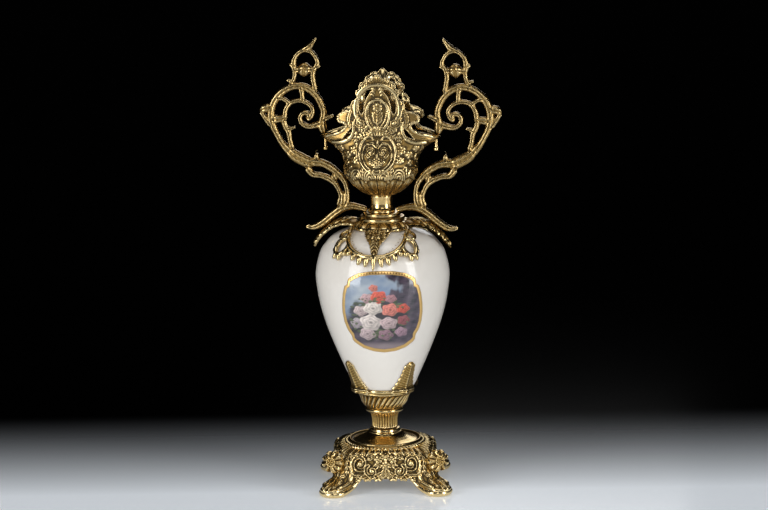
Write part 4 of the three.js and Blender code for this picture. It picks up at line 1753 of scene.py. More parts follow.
@dataclass
class Mount:
    """The lobed dome under two rings, a leaf down each side and a garland front and back.

    The garland's strokes are rows [x, distance towards the front, half-width].
    """

    lobes: int = 14
    lobe_bulge: float = 2.6
    lift: float = 2.1
    leaf_half_width: float = 15.6
    leaf_thickness: float = 2.4
    strand_height: float = 3.4
    seeds: int = 22
    seed_radius: float = 1.5
    rings: Rows = (
        (0, 323.0), (26.4, 323.6), (27.6, 325.0), (27.6, 327.8), (26.4, 329.0), (22.0, 329.4), (22.8, 330.4),
        (22.8, 333.0), (22.0, 334.0), (0, 334.0),
    )
    dome_profile: Rows = (
        (0, 319.4), (26, 319.2), (34, 315.6), (37.4, 314.9), (38.4, 316.2), (37.0, 319.4), (33.0, 322.6),
        (29.6, 324.4), (27.4, 324.6), (0, 325.0),
    )
    leaf_spine: Rows = (
        (30, 321.4), (42, 321.6), (49.8, 320.2), (58, 316.4), (66, 309.8), (72.6, 302.8), (77.6, 295.4),
        (80.4, 289.8),
    )
    leaf_width: Rows = ((0, 1), (0.35, 0.95), (0.6, 0.72), (0.82, 0.42), (0.95, 0.2), (1, 0.05))
    clump_width: Rows = ((27, 9), (31, 14.6), (38, 15), (46, 13.6), (54, 10.6), (60, 7), (67, 4.4), (73, 2.4))
    garland_half: tuple[Rows, ...] = (
        ((29, 14, 2.6), (32.4, 20, 2.8), (33.6, 30, 2.8), (32.8, 40, 2.8), (33.4, 47, 2.8)),
        (
            (33, 45, 2.6), (31.4, 53, 2.8), (27.4, 60, 3.0), (20.6, 66.6, 3.1), (11.4, 71, 3.2),
            (0, 72.6, 3.4),
        ),
        (
            (32, 47.4, 2.4), (36.4, 44.4, 2.7), (42.4, 45, 2.8), (46, 49.6, 2.9), (45.4, 55.6, 2.9),
            (40, 59.4, 2.8), (34, 58.6, 2.6), (30.6, 55, 2.2),
        ),
        (
            (33, 26, 2.0), (38, 29, 2.2), (42.4, 33.6, 2.2), (42, 39.4, 2.2), (37, 41.4, 2.0),
            (33.4, 39, 1.7),
        ),
        ((45.6, 50, 3.2), (48.4, 51, 2.6), (49.6, 50.6, 1.2)),
        ((44, 55, 3.4), (46.8, 56.4, 2.6), (48.4, 57, 1.2)),
        ((40, 58.2, 3.3), (42, 60.4, 2.8), (42.6, 61.8, 1.2)),
        ((34.6, 59, 3.4), (35.4, 61.8, 2.8), (36, 63.2, 1.2)),
        ((28.4, 60.4, 3.6), (30, 63.6, 3.0), (31.6, 65, 1.3)),
        ((22.4, 65.4, 3.8), (24.4, 68.6, 3.0), (26, 69.8, 1.3)),
        ((15.4, 69.6, 3.8), (17, 72.6, 3.0), (18.6, 73.6, 1.3)),
        ((8, 71.6, 3.8), (8.8, 74.4, 3.0), (10.2, 75.8, 1.3)),
    )
    garland_tip: Rows = ((0, 69, 3.4), (0, 74, 3.0), (0, 77.6, 0.9))

    def dome(self) -> bpy.types.Object:
        """The lobed dome, whose lobes bulge and hang over the rim.

        Returns:
            The object.
        """
        obj = turned("dome", fine_profile(self.dome_profile, 1.4, 70), self.lobes * 24)
        points = vertices(obj)
        reach = off_axis(points)
        wave = np.abs(np.sin(self.lobes * np.arctan2(points[:, 0], points[:, 1]) / 2))
        outer = smooth(27.5, 31.0, reach)
        points[:, :2] *= (1 + outer * (self.lobe_bulge * (wave**0.7 - 0.75)) / reach)[:, None]
        points[:, 2] += outer * 1.5 * (wave**0.7 - 0.9) * (points[:, 2] > 317)
        return move(obj, points)

    def side_leaf(self) -> bpy.types.Object:
        """The broad leaf that arches down over the shoulder, towards +X.

        Returns:
            The object.
        """
        spine = curve(self.leaf_spine)
        carving = Relief()
        carving.leaf([[0, 4], [0, 30], [0, 66]], 15.0, 1.8, 8)

        def place(s: np.ndarray, t: np.ndarray) -> np.ndarray:
            """Wraps the grid to the leaf.

            Args:
                s: places round the form or across it, from 0 to 1.
                t: places along the other way of the grid, from 0 to 1.

            Returns:
                The points, in millimetres.
            """
            top, across = two_faces(s, LEAF_FRONT)
            centre = along(spine, t)
            ahead = ahead_of(spine, t, 0.02)
            half = self.leaf_half_width * column(self.leaf_width, t)
            half *= 1 + 0.14 * np.abs(np.sin(t * 22)) * smooth(1, 0.92, t)
            y = across * half
            veins = carving.rise(y, t * 70) * smooth(1.02, 0.9, np.abs(across))
            up = np.where(top, self.leaf_thickness + 1.2 * arch(across) + veins, 0.3)
            droop = 3.4 * across**2 * (1 - t)
            x = centre[:, 0] - ahead[:, 1] * up
            return np.stack([x, y, centre[:, 1] + ahead[:, 0] * up - droop], axis=1)

        return lattice("side_leaf", 84, 84, place)

    def laid(self, x: np.ndarray, y: np.ndarray, above: np.ndarray) -> np.ndarray:
        """Points of the garland's sheet laid over the shoulder, towards -Y.

        Args:
            x: distances to the right.
            y: distances towards the front.
            above: heights above the sheet.

        Returns:
            The points, in millimetres.
        """
        reach = np.maximum(np.hypot(x, y), TINY)
        slope = (shoulder_height(reach + 0.8) - shoulder_height(reach - 0.8)) / 1.6
        normal = np.stack([-slope * x / reach, slope * y / reach, np.ones_like(x)], axis=1)
        normal /= np.linalg.norm(normal, axis=1, keepdims=True)
        base = np.stack([x, -y, shoulder_height(reach)], axis=1)
        return base + normal * (above + self.lift)[:, None]

    def strand(self, points: Rows) -> bpy.types.Object:
        """A round strand of the garland through points (x, distance towards the front, half-width).

        Args:
            points: rows (x, distance towards the front, half-width).

        Returns:
            The object.
        """
        path = curve(points)
        laid = self.laid(path[:, 0], path[:, 1], np.full(len(path), self.strand_height / 2))
        return rod("strand", laid, path[:, 2])

    def clump(self) -> bpy.types.Object:
        """The clump of blossoms in the middle of the garland, ending in a drooping leaf.

        Returns:
            The object.
        """
        carving = Relief()
        carving.blossom((0, 50.5), 5.4, 6, 3.2)
        carving.blossom((-6.6, 42), 4.8, 5, 3.0)
        carving.blossom((6.6, 42), 4.8, 5, 3.0)
        carving.blossom((0, 36.5), 4.6, 5, 3.0)
        carving.leaf([[-9, 34], [-12.4, 29]], 3.4, 2.2, 3)
        carving.leaf([[9, 34], [12.4, 29]], 3.4, 2.2, 3)
        carving.leaf([[0, 55], [0, 63], [0, 71]], 5.0, 2.4, 5)
        carving.leaf([[-7, 48], [-11, 53]], 3.2, 2.2, 3)
        carving.leaf([[7, 48], [11, 53]], 3.2, 2.2, 3)

        def place(s: np.ndarray, t: np.ndarray) -> np.ndarray:
            """Wraps the grid over the clump's outline.

            Args:
                s: places round the form or across it, from 0 to 1.
                t: places along the other way of the grid, from 0 to 1.

            Returns:
                The points, in millimetres.
            """
            y = 27 + 46 * t
            front, across = two_faces(s, CLUMP_FRONT)
            x = across * column(self.clump_width, y) * (1 + 0.07 * np.sin(y * 1.5))
            rise = 1.0 + carving.rise(x, y)
            edge = smooth(1.0, 0.93, np.abs(across)) * smooth(0, 0.03, t) * smooth(1, 0.97, t)
            return self.laid(x, y, np.where(front, rise * edge, 0.0))

        return lattice("clump", 92, 84, place)

    def garland(self) -> bpy.types.Object:
        """The front garland: an open crescent with loops at its corners, a clump and a leafy fringe.

        Returns:
            The object.
        """
        parts = [self.clump()]
        for points in self.garland_half:
            strand = self.strand(points)
            parts += [strand, copied(strand, MIRROR_X)]
        parts.append(self.strand(self.garland_tip))
        for t in np.linspace(0.04, 0.96, self.seeds):
            angle = math.pi * (t - 0.5)
            x, y = 30.0 * math.sin(angle), 38 + 34.5 * math.cos(angle)
            seat = self.laid(np.array([x]), np.array([y]), np.array([3.6]))[0]
            stalk = np.array([seat, seat + [0, 0.01, 0.8]])
            parts.append(rod("seed", stalk, np.full(2, self.seed_radius), 8))
        return joined("garland", parts)

    def make(self, gilt: bpy.types.Material) -> None:
        """Builds and dresses the mount.

        Args:
            gilt: finish of the cast brass.
        """
        leaves = around("side_leaves", self.side_leaf(), FRONT_AND_BACK)
        rings = turned("rings", rounded(self.rings, 0.7), 120)
        crown = joined("mount_crown", [self.dome(), rings, leaves])
        garlands = around("mount_garlands", self.garland(), FRONT_AND_BACK)
        painted_light_and_patina(crown)
        painted_light_and_patina(garlands)
        dress(turned_with_top(crown), gilt, ["shoulder_mount"])
        dress(turned_with_top(garlands), gilt)


# Neck and cup


def prism(name: str, outline: Rows, half_depth: float) -> bpy.types.Object:
    """An outline of points (x, z) drawn out along Y to either side.

    Args:
        name: name of the object.
        outline: the points, in order.
        half_depth: how far it reaches to either side.

    Returns:
        The object.
    """
    bm = bmesh.new()
    corners = [bm.verts.new((x * MM, -half_depth * MM, z * MM)) for x, z in outline]
    face = bm.faces.new(corners)
    grown = bmesh.ops.extrude_face_region(bm, geom=[face])["geom"]
    moved = [v for v in grown if isinstance(v, bmesh.types.BMVert)]
    bmesh.ops.translate(bm, verts=moved, vec=(0, 2 * half_depth * MM, 0))
    bmesh.ops.triangulate(bm, faces=bm.faces)
    return linked(name, bm)


def mirrored(points: Rows) -> list[tuple[float, float]]:
    """Points (x, z) mirrored across x = 0, in reversed order."""
    return [(-p[0], p[1]) for p in reversed(points)]


@dataclass
class Neck:
    """The polished spool between the mount and the cup."""

    profile: Rows = (
        (0, 334.4), (16.3, 334.4), (16.3, 336.2), (15.0, 337.6), (13.6, 340.0), (13.2, 344.4), (13.5, 349.0),
        (14.2, 352.6), (14.2, 354.4), (0, 354.4),
    )

    def make(self, polished: bpy.types.Material) -> None:
        """Builds and dresses the neck."""
        neck = turned("neck_spool", rounded(self.profile, 0.7), 96)
        dress(turned_with_top(neck), polished, ["neck"])


@dataclass
class Cup:
    """The oval cup with its lobed bowl, two long lips and a pierced crest front and back.

    The rows give [height, half-width, half-depth] of the outer wall. The crest, crescent and wedge are
    points (x, z) of one half: the upper outline, the opening beside the medallion and the one below it.
    """

    lobes: int = 20
    lobe_top: float = 379.0
    lobe_depth: float = 3.0
    wall: float = 3.4
    bulb: int = 20
    columns: int = 360
    outer_rows: int = 186
    outer_share: float = 0.955
    relief: float = 0.78
    tool_reach: float = 60.0
    rows: Rows = (
        (354.8, 15, 15), (357.2, 20.6, 20.6), (360, 25, 25), (366.1, 33, 32.5), (372.3, 38.6, 37.5),
        (378.4, 41.4, 39.8), (384.5, 43.2, 41), (396.7, 43.8, 40), (402.8, 45.6, 37.5), (409, 49.2, 35),
        (415, 57, 31.5), (421.5, 67, 29), (426, 70.4, 27.8), (430, 71.4, 27), (503, 69, 24.6),
    )
    crest: Rows = (
        (0, 502.4), (2.4, 501.8), (4, 500), (6.6, 497.8), (9.6, 498.6), (13, 497.6), (15.4, 494.6),
        (19.2, 493), (21.2, 489.6), (21.4, 485.6), (25, 483.4), (25.6, 480), (23.8, 476.6), (26, 473),
        (29.6, 470.6), (31.6, 466), (32.2, 460.6), (36.6, 458), (42.6, 456.6), (46.6, 454.2), (48.4, 450.2),
        (46.4, 446.4), (42, 445.2), (38.8, 443.6), (38.2, 440.8), (40.2, 437.2), (44.2, 434), (50, 431.2),
        (58, 429.2), (64, 427), (70, 425.8), (76, 425.8), (76, 350),
    )
    crescent: Rows = (
        (5.6, 486), (13.4, 484.6), (19.4, 478.4), (22.6, 468), (22.4, 459.6), (19.4, 455.2), (16.2, 459),
        (15.2, 466), (12.6, 474.4), (8.4, 481.4),
    )
    wedge: Rows = ((30.6, 439.4), (31, 433.4), (35.4, 427.8), (43.6, 424.4), (40, 430), (34.6, 436.6))
    inner_heights: Point = (503, 480, 460, 440, 430, 424, 416, 409, 402, 394, 384, 374, 367, 364)
    blossoms: Rows = (
        (28.6, 413, 4.6), (37, 407, 4.2), (28, 401.6, 3.8), (45.4, 413.6, 3.8), (39, 397.4, 3.6),
        (48.4, 403.4, 3.6), (57, 411.6, 3.8), (57, 398.6, 3.6), (66, 406, 3.6),
    )

    def carving(self) -> Relief:
        """Carving of one face, in (distance to the right, height).

        Returns:
            The carving.
        """
        half = Relief()
        band = Section.BAND
        half.stroke([
            [21, 446, 2.8], [26.2, 455, 3.2], [26.6, 467, 3.4], [21.6, 481, 3.3], [11, 489.6, 3.0],
            [0, 491.8, 3.0],
        ], 2.6)
        half.stroke([[33.4, 441, 1.8], [34.6, 450, 2.0], [31.8, 460, 1.9], [31, 467, 1.4]], 2.2, band)
        half.scroll((20.4, 445.6), 6.4, 60, -1.3, 2.2, 3.0)
        half.stroke([
            [29.4, 446, 1.8], [29.4, 436, 2.2], [33.6, 427.4, 2.5], [43, 422, 2.7], [56, 420.6, 2.4],
        ], 2.4)
        half.scroll((18.6, 490.4), 4.6, 0, 1.1, 1.8, 2.6)
        half.leaf([[13, 492.4], [9, 495.6], [3, 497]], 3.4, 1.9, 3)
        half.leaf([[24.6, 483.4], [28, 475], [30.4, 468]], 3.0, 1.9, 4)
        half.leaf([[26, 452], [29, 447], [27.4, 441]], 2.6, 1.6, 3)
        half.blossom((7.4, 434.4), 4.0, 5, 2.8)
        half.beads([[0.8, 466.4], [5, 470], [9.6, 467.4], [11.2, 459], [9.4, 449], [4.6, 441]], 1.1, 2.4, 1.9)
        half.leaf([[3, 492], [5, 484], [6.4, 477.6]], 3.0, 1.9, 4)
        half.leaf([[12, 441.6], [17, 438], [23, 437.4]], 3.6, 2.0, 4)
        half.leaf([[10, 432], [16, 431], [23.6, 427]], 3.4, 1.9, 4)
        half.leaf([[26, 434], [26.4, 427], [24.6, 419]], 3.0, 1.8, 4)
        half.stroke([
            [5, 425.8, 1.2], [9.6, 429.8, 1.6], [17.4, 424.6, 1.8], [21.4, 415, 1.8], [21, 406, 1.7],
            [17.2, 396.6, 1.6], [9.6, 389.4, 1.5], [0, 386.4, 1.5],
        ], 2.4)
        half.stroke([
            [8.8, 422, 0.9], [14.6, 419, 1.0], [17.4, 412, 1.0], [16.8, 404, 1.0], [12.8, 396.6, 1.0],
            [7, 392, 1.0], [0, 390.4, 1.0],
        ], 1.6)
        half.scroll((7.4, 411.4), 5.8, 300, 1.3, 1.8, 2.4)
        half.leaf([[0, 394], [4.4, 399], [9.6, 402]], 3.0, 2.0, 4)
        half.stroke([[2, 417, 1.4], [5.8, 421, 2.0], [10.6, 420, 1.2]], 2.2)
        for u, v, radius in self.blossoms:
            half.blossom((u, v), radius, 5, 2.0)
        half.leaf([[24.4, 420], [24.6, 408], [23, 397]], 3.2, 1.7, 6)
        half.leaf([[52, 417], [53.6, 408], [52.6, 399]], 3.0, 1.6, 5)
        for u in (16.5, 33.5, 50.5, 66.0):
            half.leaf([[u, 379], [u, 386], [u, 394]], 3.8, 1.8, 4)
        for u in (8.0, 25.0, 42.0, 59.0):
            for radius, width in ((8.4, 1.3), (5.4, 1.2), (2.4, 1.2)):
                way = np.radians([-30, 30, 75, 120, 175])
                bow_u, bow_v = u + 0.8 * radius * np.cos(way), 380.6 + 1.2 * radius * np.sin(way)
                half.stroke(np.stack([bow_u, bow_v, np.full_like(way, width)], axis=1), 2.2)
        whole = Relief()
        whole.mirror(half)
        whole.ring((0, 455), (14.0, 18.6), 1.9, 2.6)
        whole.blossom((0, 464), 5.2, 6, 2.4)
        whole.leaf([[0, 444], [0, 451], [0, 458]], 6.4, 1.9, 4)
        for x in (-3.4, 0.0, 3.4):
            whole.stroke([[x * 0.8, 430.6, 1.3], [x, 441, 1.5]], 2.6)
        for i in range(9):
            way = way_at(math.radians(90 + (i - 4) * 17))
            root, middle, tip = (np.array([0, 488.6]) + reach * way for reach in (2, 6.8, 11.6))
            whole.stroke([[*root, 0.8], [*middle, 1.5], [*tip, 1.8]], 1.5, Section.LEAF)
        whole.blossom((0, 402.6), 3.8, 6, 2.5)
        whole.stroke([[0, 406, 1.4], [0, 414, 2.2], [0, 424, 1.4]], 2.6)
        return whole

    def wall_depth(self, x: np.ndarray, z: np.ndarray) -> np.ndarray:
        """Distance of the outer wall from the XZ plane."""
        half_width, half_depth = column(self.rows, z, 1), column(self.rows, z, 2)
        return half_depth * np.sqrt(np.clip(1 - (x / half_width) ** 2, 0.01, 1))

    def shell(self) -> bpy.types.Object:
        """The lobed and carved wall before it is cut to its outline.

        Returns:
            The object.
        """
        carving = self.carving()
        outside = along(curve(np.asarray(self.rows)[:, [1, 0, 2]]), np.linspace(0, 1, self.outer_rows))
        heights = np.asarray(self.inner_heights, float)
        inner = [column(self.rows, heights, i) - self.wall for i in (1, 2)]
        inside = np.stack([inner[0], heights, inner[1]], axis=1)
        inside[-1, [0, 2]] = 0.9 * inside[-2, [0, 2]]
        section = np.vstack([[[0, outside[0, 1], 0]], outside, inside, [[0, heights[-1], 0]]])
        rows = len(section) - 1

        def place(s: np.ndarray, t: np.ndarray) -> np.ndarray:
            """Wraps the grid round the cup.

            Args:
                s: places round the form or across it, from 0 to 1.
                t: places along the other way of the grid, from 0 to 1.

            Returns:
                The points, in millimetres.
            """
            row = t * rows
            half_width, height, half_depth = read(section, np.arange(rows + 1), row).T
            angle = s * TURN - 0.15 * np.sin(2 * s * TURN)
            lobed = (row < self.outer_rows + 0.5) & (half_width > 14)
            wave = np.abs(np.sin(self.lobes * angle / 2)) ** 0.6
            low = smooth(self.lobe_top + 2, self.lobe_top - 3, height) * smooth(355, 359, height)
            sunk = self.lobe_depth * (wave - 1) * low
            scale = 1 + np.where(lobed, sunk / np.maximum(half_width, 1), 0)
            x = half_width * scale * np.sin(angle)
            y = -half_depth * scale * np.cos(angle)
            return np.stack([x, y, height], axis=1)

        obj = lattice("cup_wall", self.columns, rows, place)
        points = vertices(obj)
        outward = normals(obj)
        half_width = column(self.rows, points[:, 2], 1)
        half_depth = column(self.rows, points[:, 2], 2)
        angle = np.arctan2(points[:, 0] / half_width, np.abs(points[:, 1]) / half_depth)
        turn = math.radians(60)
        beyond = np.clip(np.abs(angle) - turn, 0, None) * np.sign(angle)
        u = half_width * (np.sin(np.clip(angle, -turn, turn)) + beyond)
        share = np.hypot(points[:, 0] / half_width, points[:, 1] / half_depth)
        outer = share > self.outer_share
        rise = self.relief * carving.rise(u, points[:, 2]) * outer
        leafy = 0.5 * np.abs(np.sin(self.lobes * angle + 0.5 * math.pi)) ** 3
        low = smooth(self.lobe_top, self.lobe_top - 4, points[:, 2])
        rise += leafy * outer * low * smooth(356, 360, points[:, 2])
        return move(obj, points + outward * rise[:, None])

    def edges(self) -> list[bpy.types.Object]:
        """Round rims along the crest's outline and round its holes, at the front.

        Returns:
            The rims.
        """
        rims = []
        paths = (
            (self.crest[: self.bulb + 1], False, 1.1),
            (self.crest[self.bulb - 1 : -2], False, 2.3),
            (self.crescent, True, 0.7),
            (self.wedge, True, 0.7),
        )
        for points, closed, radius in paths:
            for side in (1, -1):
                flat = curve(np.asarray(points, float) * [side, 1], 5, closed)
                if closed:
                    flat = np.vstack([flat, flat[:2]])
                x, z = flat[:, 0], flat[:, 1]
                path = np.stack([x, -(self.wall_depth(x, z) - 0.5), z], axis=1)
                radii = radius * (1 + 0.1 * np.sin(np.arange(len(x)) * 0.8))
                rims.append(rod("rim", path, radii, 10))
        return rims

    def make(self, gilt: bpy.types.Material) -> None:
        """Builds and dresses the cup.

        Args:
            gilt: finish of the cast brass.
        """
        wall = self.shell()
        outline = prism("outline", [*self.crest, *mirrored(self.crest[1:])], self.tool_reach)
        cut(wall, outline, Cut.INSIDE)
        for hole in (self.crescent, self.wedge):
            cut(wall, prism("hole", hole, self.tool_reach), Cut.OUTSIDE)
            cut(wall, prism("hole", mirrored(hole), self.tool_reach), Cut.OUTSIDE)
        rims = around("rims", joined("rim_set", self.edges()), FRONT_AND_BACK)
        cup = joined("crested_cup", [wall, rims])
        painted_light_and_patina(cup)
        dress(turned_with_top(cup), gilt, ["cup"])


# Handles


@dataclass
class Handle:
    """An openwork scroll handle in the XZ plane: strokes that run together, with a sunk, bead-edged band.

    The strokes are points (distance from the axis, height, half-width).
    """

    depth: float = 3.6
    least_depth: float = 1.5
    squareness: float = 0.92
    spread: float = 1.06
    spare: float = 0.3
    voxel: float = 0.74
    smoothing: int = 2
    groove: float = 1.0
    chasing: float = 0.25
    bead_height: float = 0.26
    edge_height: float = 0.16
    bead_pitch: float = 8.4
    strokes: tuple[Rows, ...] = (
        ((70.9, 441, 4), (68.5, 452.8, 3.5), (70.9, 462.5, 3.6), (76.4, 472.9, 3.8), (84.8, 480.8, 3.9),
         (95.2, 485, 3.8), (106.1, 484, 3.7), (117, 478.6, 4), (125.5, 470, 4.2), (130.5, 459.4, 4.2),
         (132, 447.6, 4.2), (129.8, 436.6, 3.8), (124.6, 425.4, 3.3), (118.2, 414.6, 3.7), (109.4, 404.6, 5)),
        ((113, 408.5, 4.5), (104.8, 401.2, 6.2), (94, 395.2, 6.6), (83, 390.4, 6)),
        ((91.5, 392.6, 4.8), (81, 393, 4.8), (70.2, 391.4, 4.1), (60, 386, 4.1), (51, 378.5, 3.6),
         (44.2, 369, 2.9), (41.4, 358, 2.6), (42, 347, 3), (45.5, 338.8, 4.2)),
        ((90, 388, 4.8), (83, 378.6, 3.5), (73.3, 377, 3), (63.6, 373.4, 3.4), (56.2, 367.8, 3.1),
         (51.5, 359.8, 2.6), (49.2, 350.5, 2.9), (52, 339.5, 4.2)),
        ((58.5, 380, 3), (54.5, 370.5, 3)),
        ((45.6, 358, 3.6), (45.8, 348.6, 4.4), (46.6, 340, 5.2)),
        ((92.6, 315.4, 1.5), (85.5, 313.6, 2.7), (77, 316, 3.8), (67.9, 322, 4.2), (57.6, 330.6, 4.3),
         (47.4, 337.6, 4.5), (37.4, 340, 3.9), (27.6, 338.6, 3.2), (17.2, 336, 2.8)),
        ((77.6, 396, 4.2), (77.8, 401.6, 2.6), (78, 404.4, 2.4)),
        ((77.6, 406.2, 4.2), (78.4, 407, 4.2)),
        ((106.1, 408, 3.1), (109.3, 419, 2.6), (110.8, 428.6, 3.1), (115, 437.2, 3.1), (116.4, 445, 3.2)),
        ((112.1, 431.6, 2.6), (107.3, 434, 1.9), (101.8, 435.7, 0.9)),
        ((130.3, 444.6, 4.8), (122, 445, 4), (114, 446.4, 3.4)),
        ((115.4, 444, 2.9), (114.4, 455, 2.8), (109, 464, 2.7), (100, 467.4, 2.4), (91, 466, 2.4),
         (84.1, 461.2, 2.4), (81.3, 454.4, 2.4), (84, 447.6, 2.6), (90, 446, 4.4)),
        ((70.9, 440.4, 4.4), (79.4, 437.6, 3.4), (87.9, 436.4, 2.8), (94.8, 440, 2.6), (97, 446.6, 2.5),
         (93.2, 452.2, 2.5), (87, 451.8, 2.6), (85.6, 447, 3.2)),
        ((88.4, 446.6, 4.4), (89.4, 446.2, 4.4)),
        ((95.2, 483.8, 3.6), (94, 476, 2.7), (93.4, 467, 2.8)),
        ((124.2, 470.9, 3.6), (117, 469.4, 2.1), (109.7, 464.2, 2.5)),
        ((69.9, 447, 4), (70.2, 437, 5), (68.8, 431, 4.2), (68, 427.2, 3.4)),
        ((68.5, 444.4, 2.9), (62.2, 447.6, 2.4), (55.8, 450, 1.4)),
        ((131, 460, 3.8), (139.5, 457.6, 4.6), (146, 455.4, 1.9)),
        ((145, 454.6, 2), (139, 446, 2.6), (132.4, 436.6, 3)),
        ((108, 486.6, 2.8), (103.4, 494, 2.5), (102.4, 502.8, 2.6), (103.6, 509.6, 3.2), (102.2, 518.2, 2.7),
         (97.2, 525, 2.5), (90.3, 528.4, 2.4), (82, 526.2, 2.4), (76.8, 519.6, 2.2), (74.6, 512.6, 2.7),
         (79, 504.8, 2.8), (80.6, 496.6, 2.8), (79.4, 488.6, 2.8), (77.4, 478, 2.6)),
        ((91, 496, 4.4), (90.9, 502, 7.4), (89.6, 508.6, 7.2), (88.4, 513.4, 4.4)),
        ((102.6, 503.6, 2.8), (90.3, 505.6, 3.4), (78.4, 504.4, 2.8)),
        ((102.4, 509.4, 3), (109.4, 512, 1.9)),
        ((76.4, 508.4, 3), (70.8, 510, 1.2)),
        ((103, 489.6, 2.2), (108.2, 491.4, 1.7), (113.4, 491.8, 1)),
        ((93.4, 527.6, 2.2), (85.4, 531.4, 3.8), (80, 537.4, 2.3), (75.2, 544, 0.9)),
    )

    def stroke(self, points: Rows) -> bpy.types.Object:
        """One stroke as a bar with rounded ends.

        Args:
            points: rows (distance from the axis, height, half-width).

        Returns:
            The object.
        """
        path = curve(points)
        length = float(lengths(path[:, :2])[-1])

        def place(s: np.ndarray, t: np.ndarray) -> np.ndarray:
            """Wraps the grid round the stroke.

            Args:
                s: places round the form or across it, from 0 to 1.
                t: places along the other way of the grid, from 0 to 1.

            Returns:
                The points, in millimetres.
            """
            centre = along(path, t)
            ahead = ahead_of(path, t, 0.01)
            half = centre[:, 2] * self.spread + self.spare
            end = closing(np.minimum(t, 1 - t) * length / np.maximum(half, 0.5))
            p, q = np.cos(s * TURN), np.sin(s * TURN)
            across = half * end * np.sign(p) * np.abs(p) ** self.squareness
            deep = (self.least_depth + 0.62 * half) * end * np.sign(q) * np.abs(q) ** self.squareness
            u = centre[:, 0] + ahead[:, 1] * across
            v = centre[:, 1] - ahead[:, 0] * across
            return np.stack([-u, deep, v], axis=1)

        return lattice("stroke", 20, max(6, int(length / 1.5)), place)

    def carve(self, obj: bpy.types.Object) -> None:
        """Sinks a band along the strokes and raises beads along its edges.

        Args:
            obj: the handle on the left.
        """
        points = vertices(obj)
        u, v = -points[:, 0], points[:, 2]
        share = np.full(len(u), FAR)
        run = np.zeros(len(u))
        for stroke in self.strokes:
            path = curve(stroke, 4)
            near = close_by(path, u, v, 1.0)
            off, reach = beside(path, u[near], v[near], 0.4)
            better = off < share[near]
            share[near[better]] = off[better]
            run[near[better]] = reach[better]
        phase = run * math.pi / self.bead_pitch
        face = smooth(0.4 * self.depth, 0.75 * self.depth, np.abs(points[:, 1]))
        sunk = self.groove * smooth(0.46, 0.16, share)
        chased = self.chasing * np.abs(np.sin(phase * 1.25)) * smooth(0.5, 0.2, share)
        beads = self.bead_height * (np.abs(np.sin(phase)) - 0.5) * smooth(0.4, 0.7, share)
        shift = np.sign(points[:, 1]) * (beads + chased - sunk) * face
        edge = self.edge_height * (np.abs(np.sin(phase + 0.8)) - 0.6) * (1 - face)
        points += normals(obj) * edge[:, None]
        points[:, 1] += shift
        move(obj, points)

    def make(self, gilt: bpy.types.Material) -> None:
        """Builds and dresses the two handles.

        Args:
            gilt: finish of the cast brass.
        """
        left = joined("scroll_handle_left", [self.stroke(points) for points in self.strokes])
        fuse(left, self.voxel, self.smoothing)
        self.carve(left)
        right = copied(left, MIRROR_X)
        right.name = "scroll_handle_right"
        for obj, node in ((left, "handle_left"), (right, "handle_right")):
            painted_light_and_patina(obj, 0.5, (3, 10))
            dress(turned_with_top(obj), gilt, [node])


@dataclass
class Pins:
    """The two screws that hold the handles' feet from under the lips."""

    reach: float = 66.6
    profile: Rows = (
        (0, 408.5), (2.4, 408.5), (2.9, 409.2), (2.9, 411.6), (2.4, 412.2), (1.8, 412.4), (1.8, 423.0),
        (0, 423.0),
    )

    def make(self, polished: bpy.types.Material) -> None:
        """Builds and dresses the pins.

        Args:
            polished: finish of the turned brass.
        """
        for side, hand in ((-1, "left"), (1, "right")):
            pin = turned(f"screw_{hand}", rounded(self.profile, 0.3), 32)
            pin.data.transform(Matrix.Translation((side * self.reach * MM, 0, 0)))
            dress(turned_with_top(pin), polished, [f"handle_pin_{hand}"])


# Stage


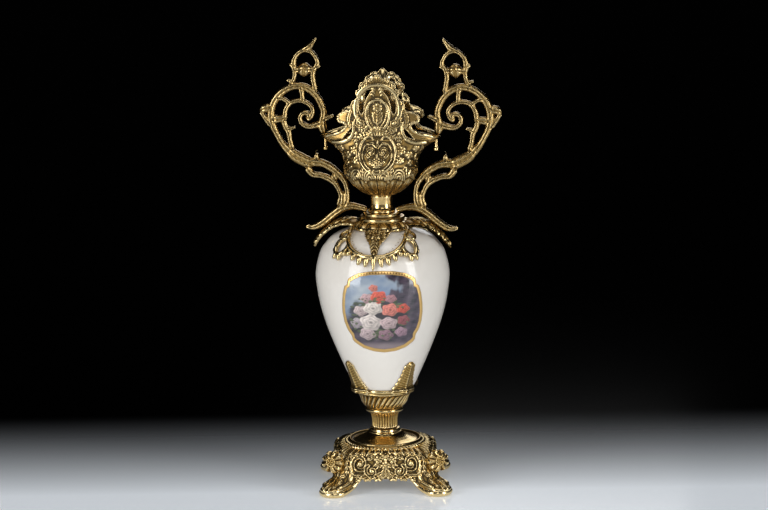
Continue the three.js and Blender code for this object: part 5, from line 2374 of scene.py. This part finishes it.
@dataclass
class Studio:
    """A pale floor whose colour fades to darkness behind, as painted shade, and which glows faintly with
    painted light; soft lights and the camera of the picture.
    """

    floor_side: float = 12.0
    floor_gap: float = 0.0002
    floor_colour: Colour = (0.86, 0.91, 0.97)
    floor_painted_falloff: tuple[float, float] = (-0.045, 0.36)
    floor_painted_glow: float = 0.22
    lit: Point = (0, 0, 0.27)
    aim: Point = (0.0019, 0.0, 0.2804)
    distance: float = 4.75
    elevation: float = 11.5
    roll: float = -0.82
    lens: float = 185.5

    def floor(self) -> None:
        """Builds the floor, pale in front and dark far behind: a painted fall-off of light."""
        bm = bmesh.new()
        bmesh.ops.create_grid(bm, x_segments=1, y_segments=1, size=self.floor_side / 2)
        obj = linked("floor", bm)
        obj.location.z = -self.floor_gap
        shader = Shader("pale_floor")
        place = shader.node("ShaderNodeTexCoord", {}, {}).outputs["Object"]
        parts = shader.node("ShaderNodeSeparateXYZ", {}, {0: place})
        # Painted shade: the floor's colour fades to black behind, standing in for the fall-off of light.
        near = (1.0 - Level(shader, parts.outputs["Y"]).between(*self.floor_painted_falloff)) ** 2.0
        pale = shader.mix(near, opaque((0.0, 0.0, 0.0)), opaque(self.floor_colour))
        shader.set(
            Base_Color=pale,
            # Painted light: the floor glows with its own faded colour, though it is no lamp.
            Emission_Color=pale,
            Emission_Strength=self.floor_painted_glow,
            Roughness=0.15,
            Specular_IOR_Level=0.16,
        )
        obj.data.materials.append(shader.material)

    def light(self, name: str, place: Point, size: Point, watts: float) -> None:
        """Adds a soft rectangular light that faces the middle of the vase.

        Args:
            name: name of the light.
            place: where it stands, in metres.
            size: its width and height, in metres.
            watts: its power.
        """
        data = bpy.data.lights.new(name, "AREA")
        data.shape = "RECTANGLE"
        data.size, data.size_y = size
        data.energy = watts
        obj = bpy.data.objects.new(name, data)
        obj.location = place
        obj.rotation_euler = (Vector(self.lit) - Vector(place)).to_track_quat("-Z", "Y").to_euler()
        bpy.context.scene.collection.objects.link(obj)

    def camera(self) -> None:
        """Adds the camera."""
        data = bpy.data.cameras.new("camera")
        data.lens = self.lens
        data.sensor_width = 36.0
        data.clip_end = 100.0
        obj = bpy.data.objects.new("camera", data)
        lift = math.radians(self.elevation)
        back = Vector((0, -math.cos(lift), math.sin(lift)))
        obj.location = Vector(self.aim) + back * self.distance
        turn = (-back).to_track_quat("-Z", "Y").to_matrix().to_4x4()
        roll = Matrix.Rotation(math.radians(self.roll), 4, "Z")
        obj.rotation_euler = (turn @ roll).to_euler()
        bpy.context.scene.collection.objects.link(obj)
        bpy.context.scene.camera = obj

    def make(self) -> None:
        """Builds the stage."""
        self.floor()
        self.light("left_window", (-1.5, -1.3, 0.62), (0.8, 1.4), 22)
        self.light("right_window", (1.6, -1.25, 0.6), (0.5, 1.3), 17)
        self.light("front", (0.25, -2.6, 1.3), (1.2, 0.7), 11)
        self.light("top", (0.0, -0.3, 2.1), (1.4, 0.8), 7)
        self.light("back", (0.2, 1.3, 1.0), (0.5, 1.2), 3)
        world = bpy.data.worlds.new("dark")
        world.use_nodes = True
        world.node_tree.nodes["Background"].inputs["Color"].default_value = opaque((0.001, 0.001, 0.001))
        bpy.context.scene.world = world
        bpy.context.scene.view_settings.view_transform = "Standard"
        self.camera()


def corners(box: tuple[Vector, Vector]) -> list[list[float]]:
    """Two corners as plain lists."""
    return [list(corner) for corner in box]


def main() -> None:
    """Builds the vase piece by piece, then the stage."""
    logging.basicConfig(level=logging.INFO, format="%(name)s %(message)s")
    gilt = GiltBrass().material()
    polished = PolishedBrass().material()
    # Painted light: a paler copy of the gilt for the foot, stem and calyx stands in for the floor's light on
    # the lower parts, while the upper parts keep the darker gilt.
    lower_lit_gilt = GiltBrass("gilt_cast_brass_lit_lower", side=(0.44, 0.28, 0.085), crest=(0.84, 0.65, 0.33))
    lower_lit_gilt_material = lower_lit_gilt.material()
    Foot().make(lower_lit_gilt_material)
    Stem().make(lower_lit_gilt_material, polished)
    Calyx().make(lower_lit_gilt_material)
    Body().make(Porcelain().material())
    Picture().make(Painted().material(), GoldBorder().material())
    Mount().make(gilt)
    Neck().make(polished)
    Cup().make(gilt)
    Handle().make(gilt)
    Pins().make(polished)
    Studio().make()


if __name__ == "__main__":
    main()
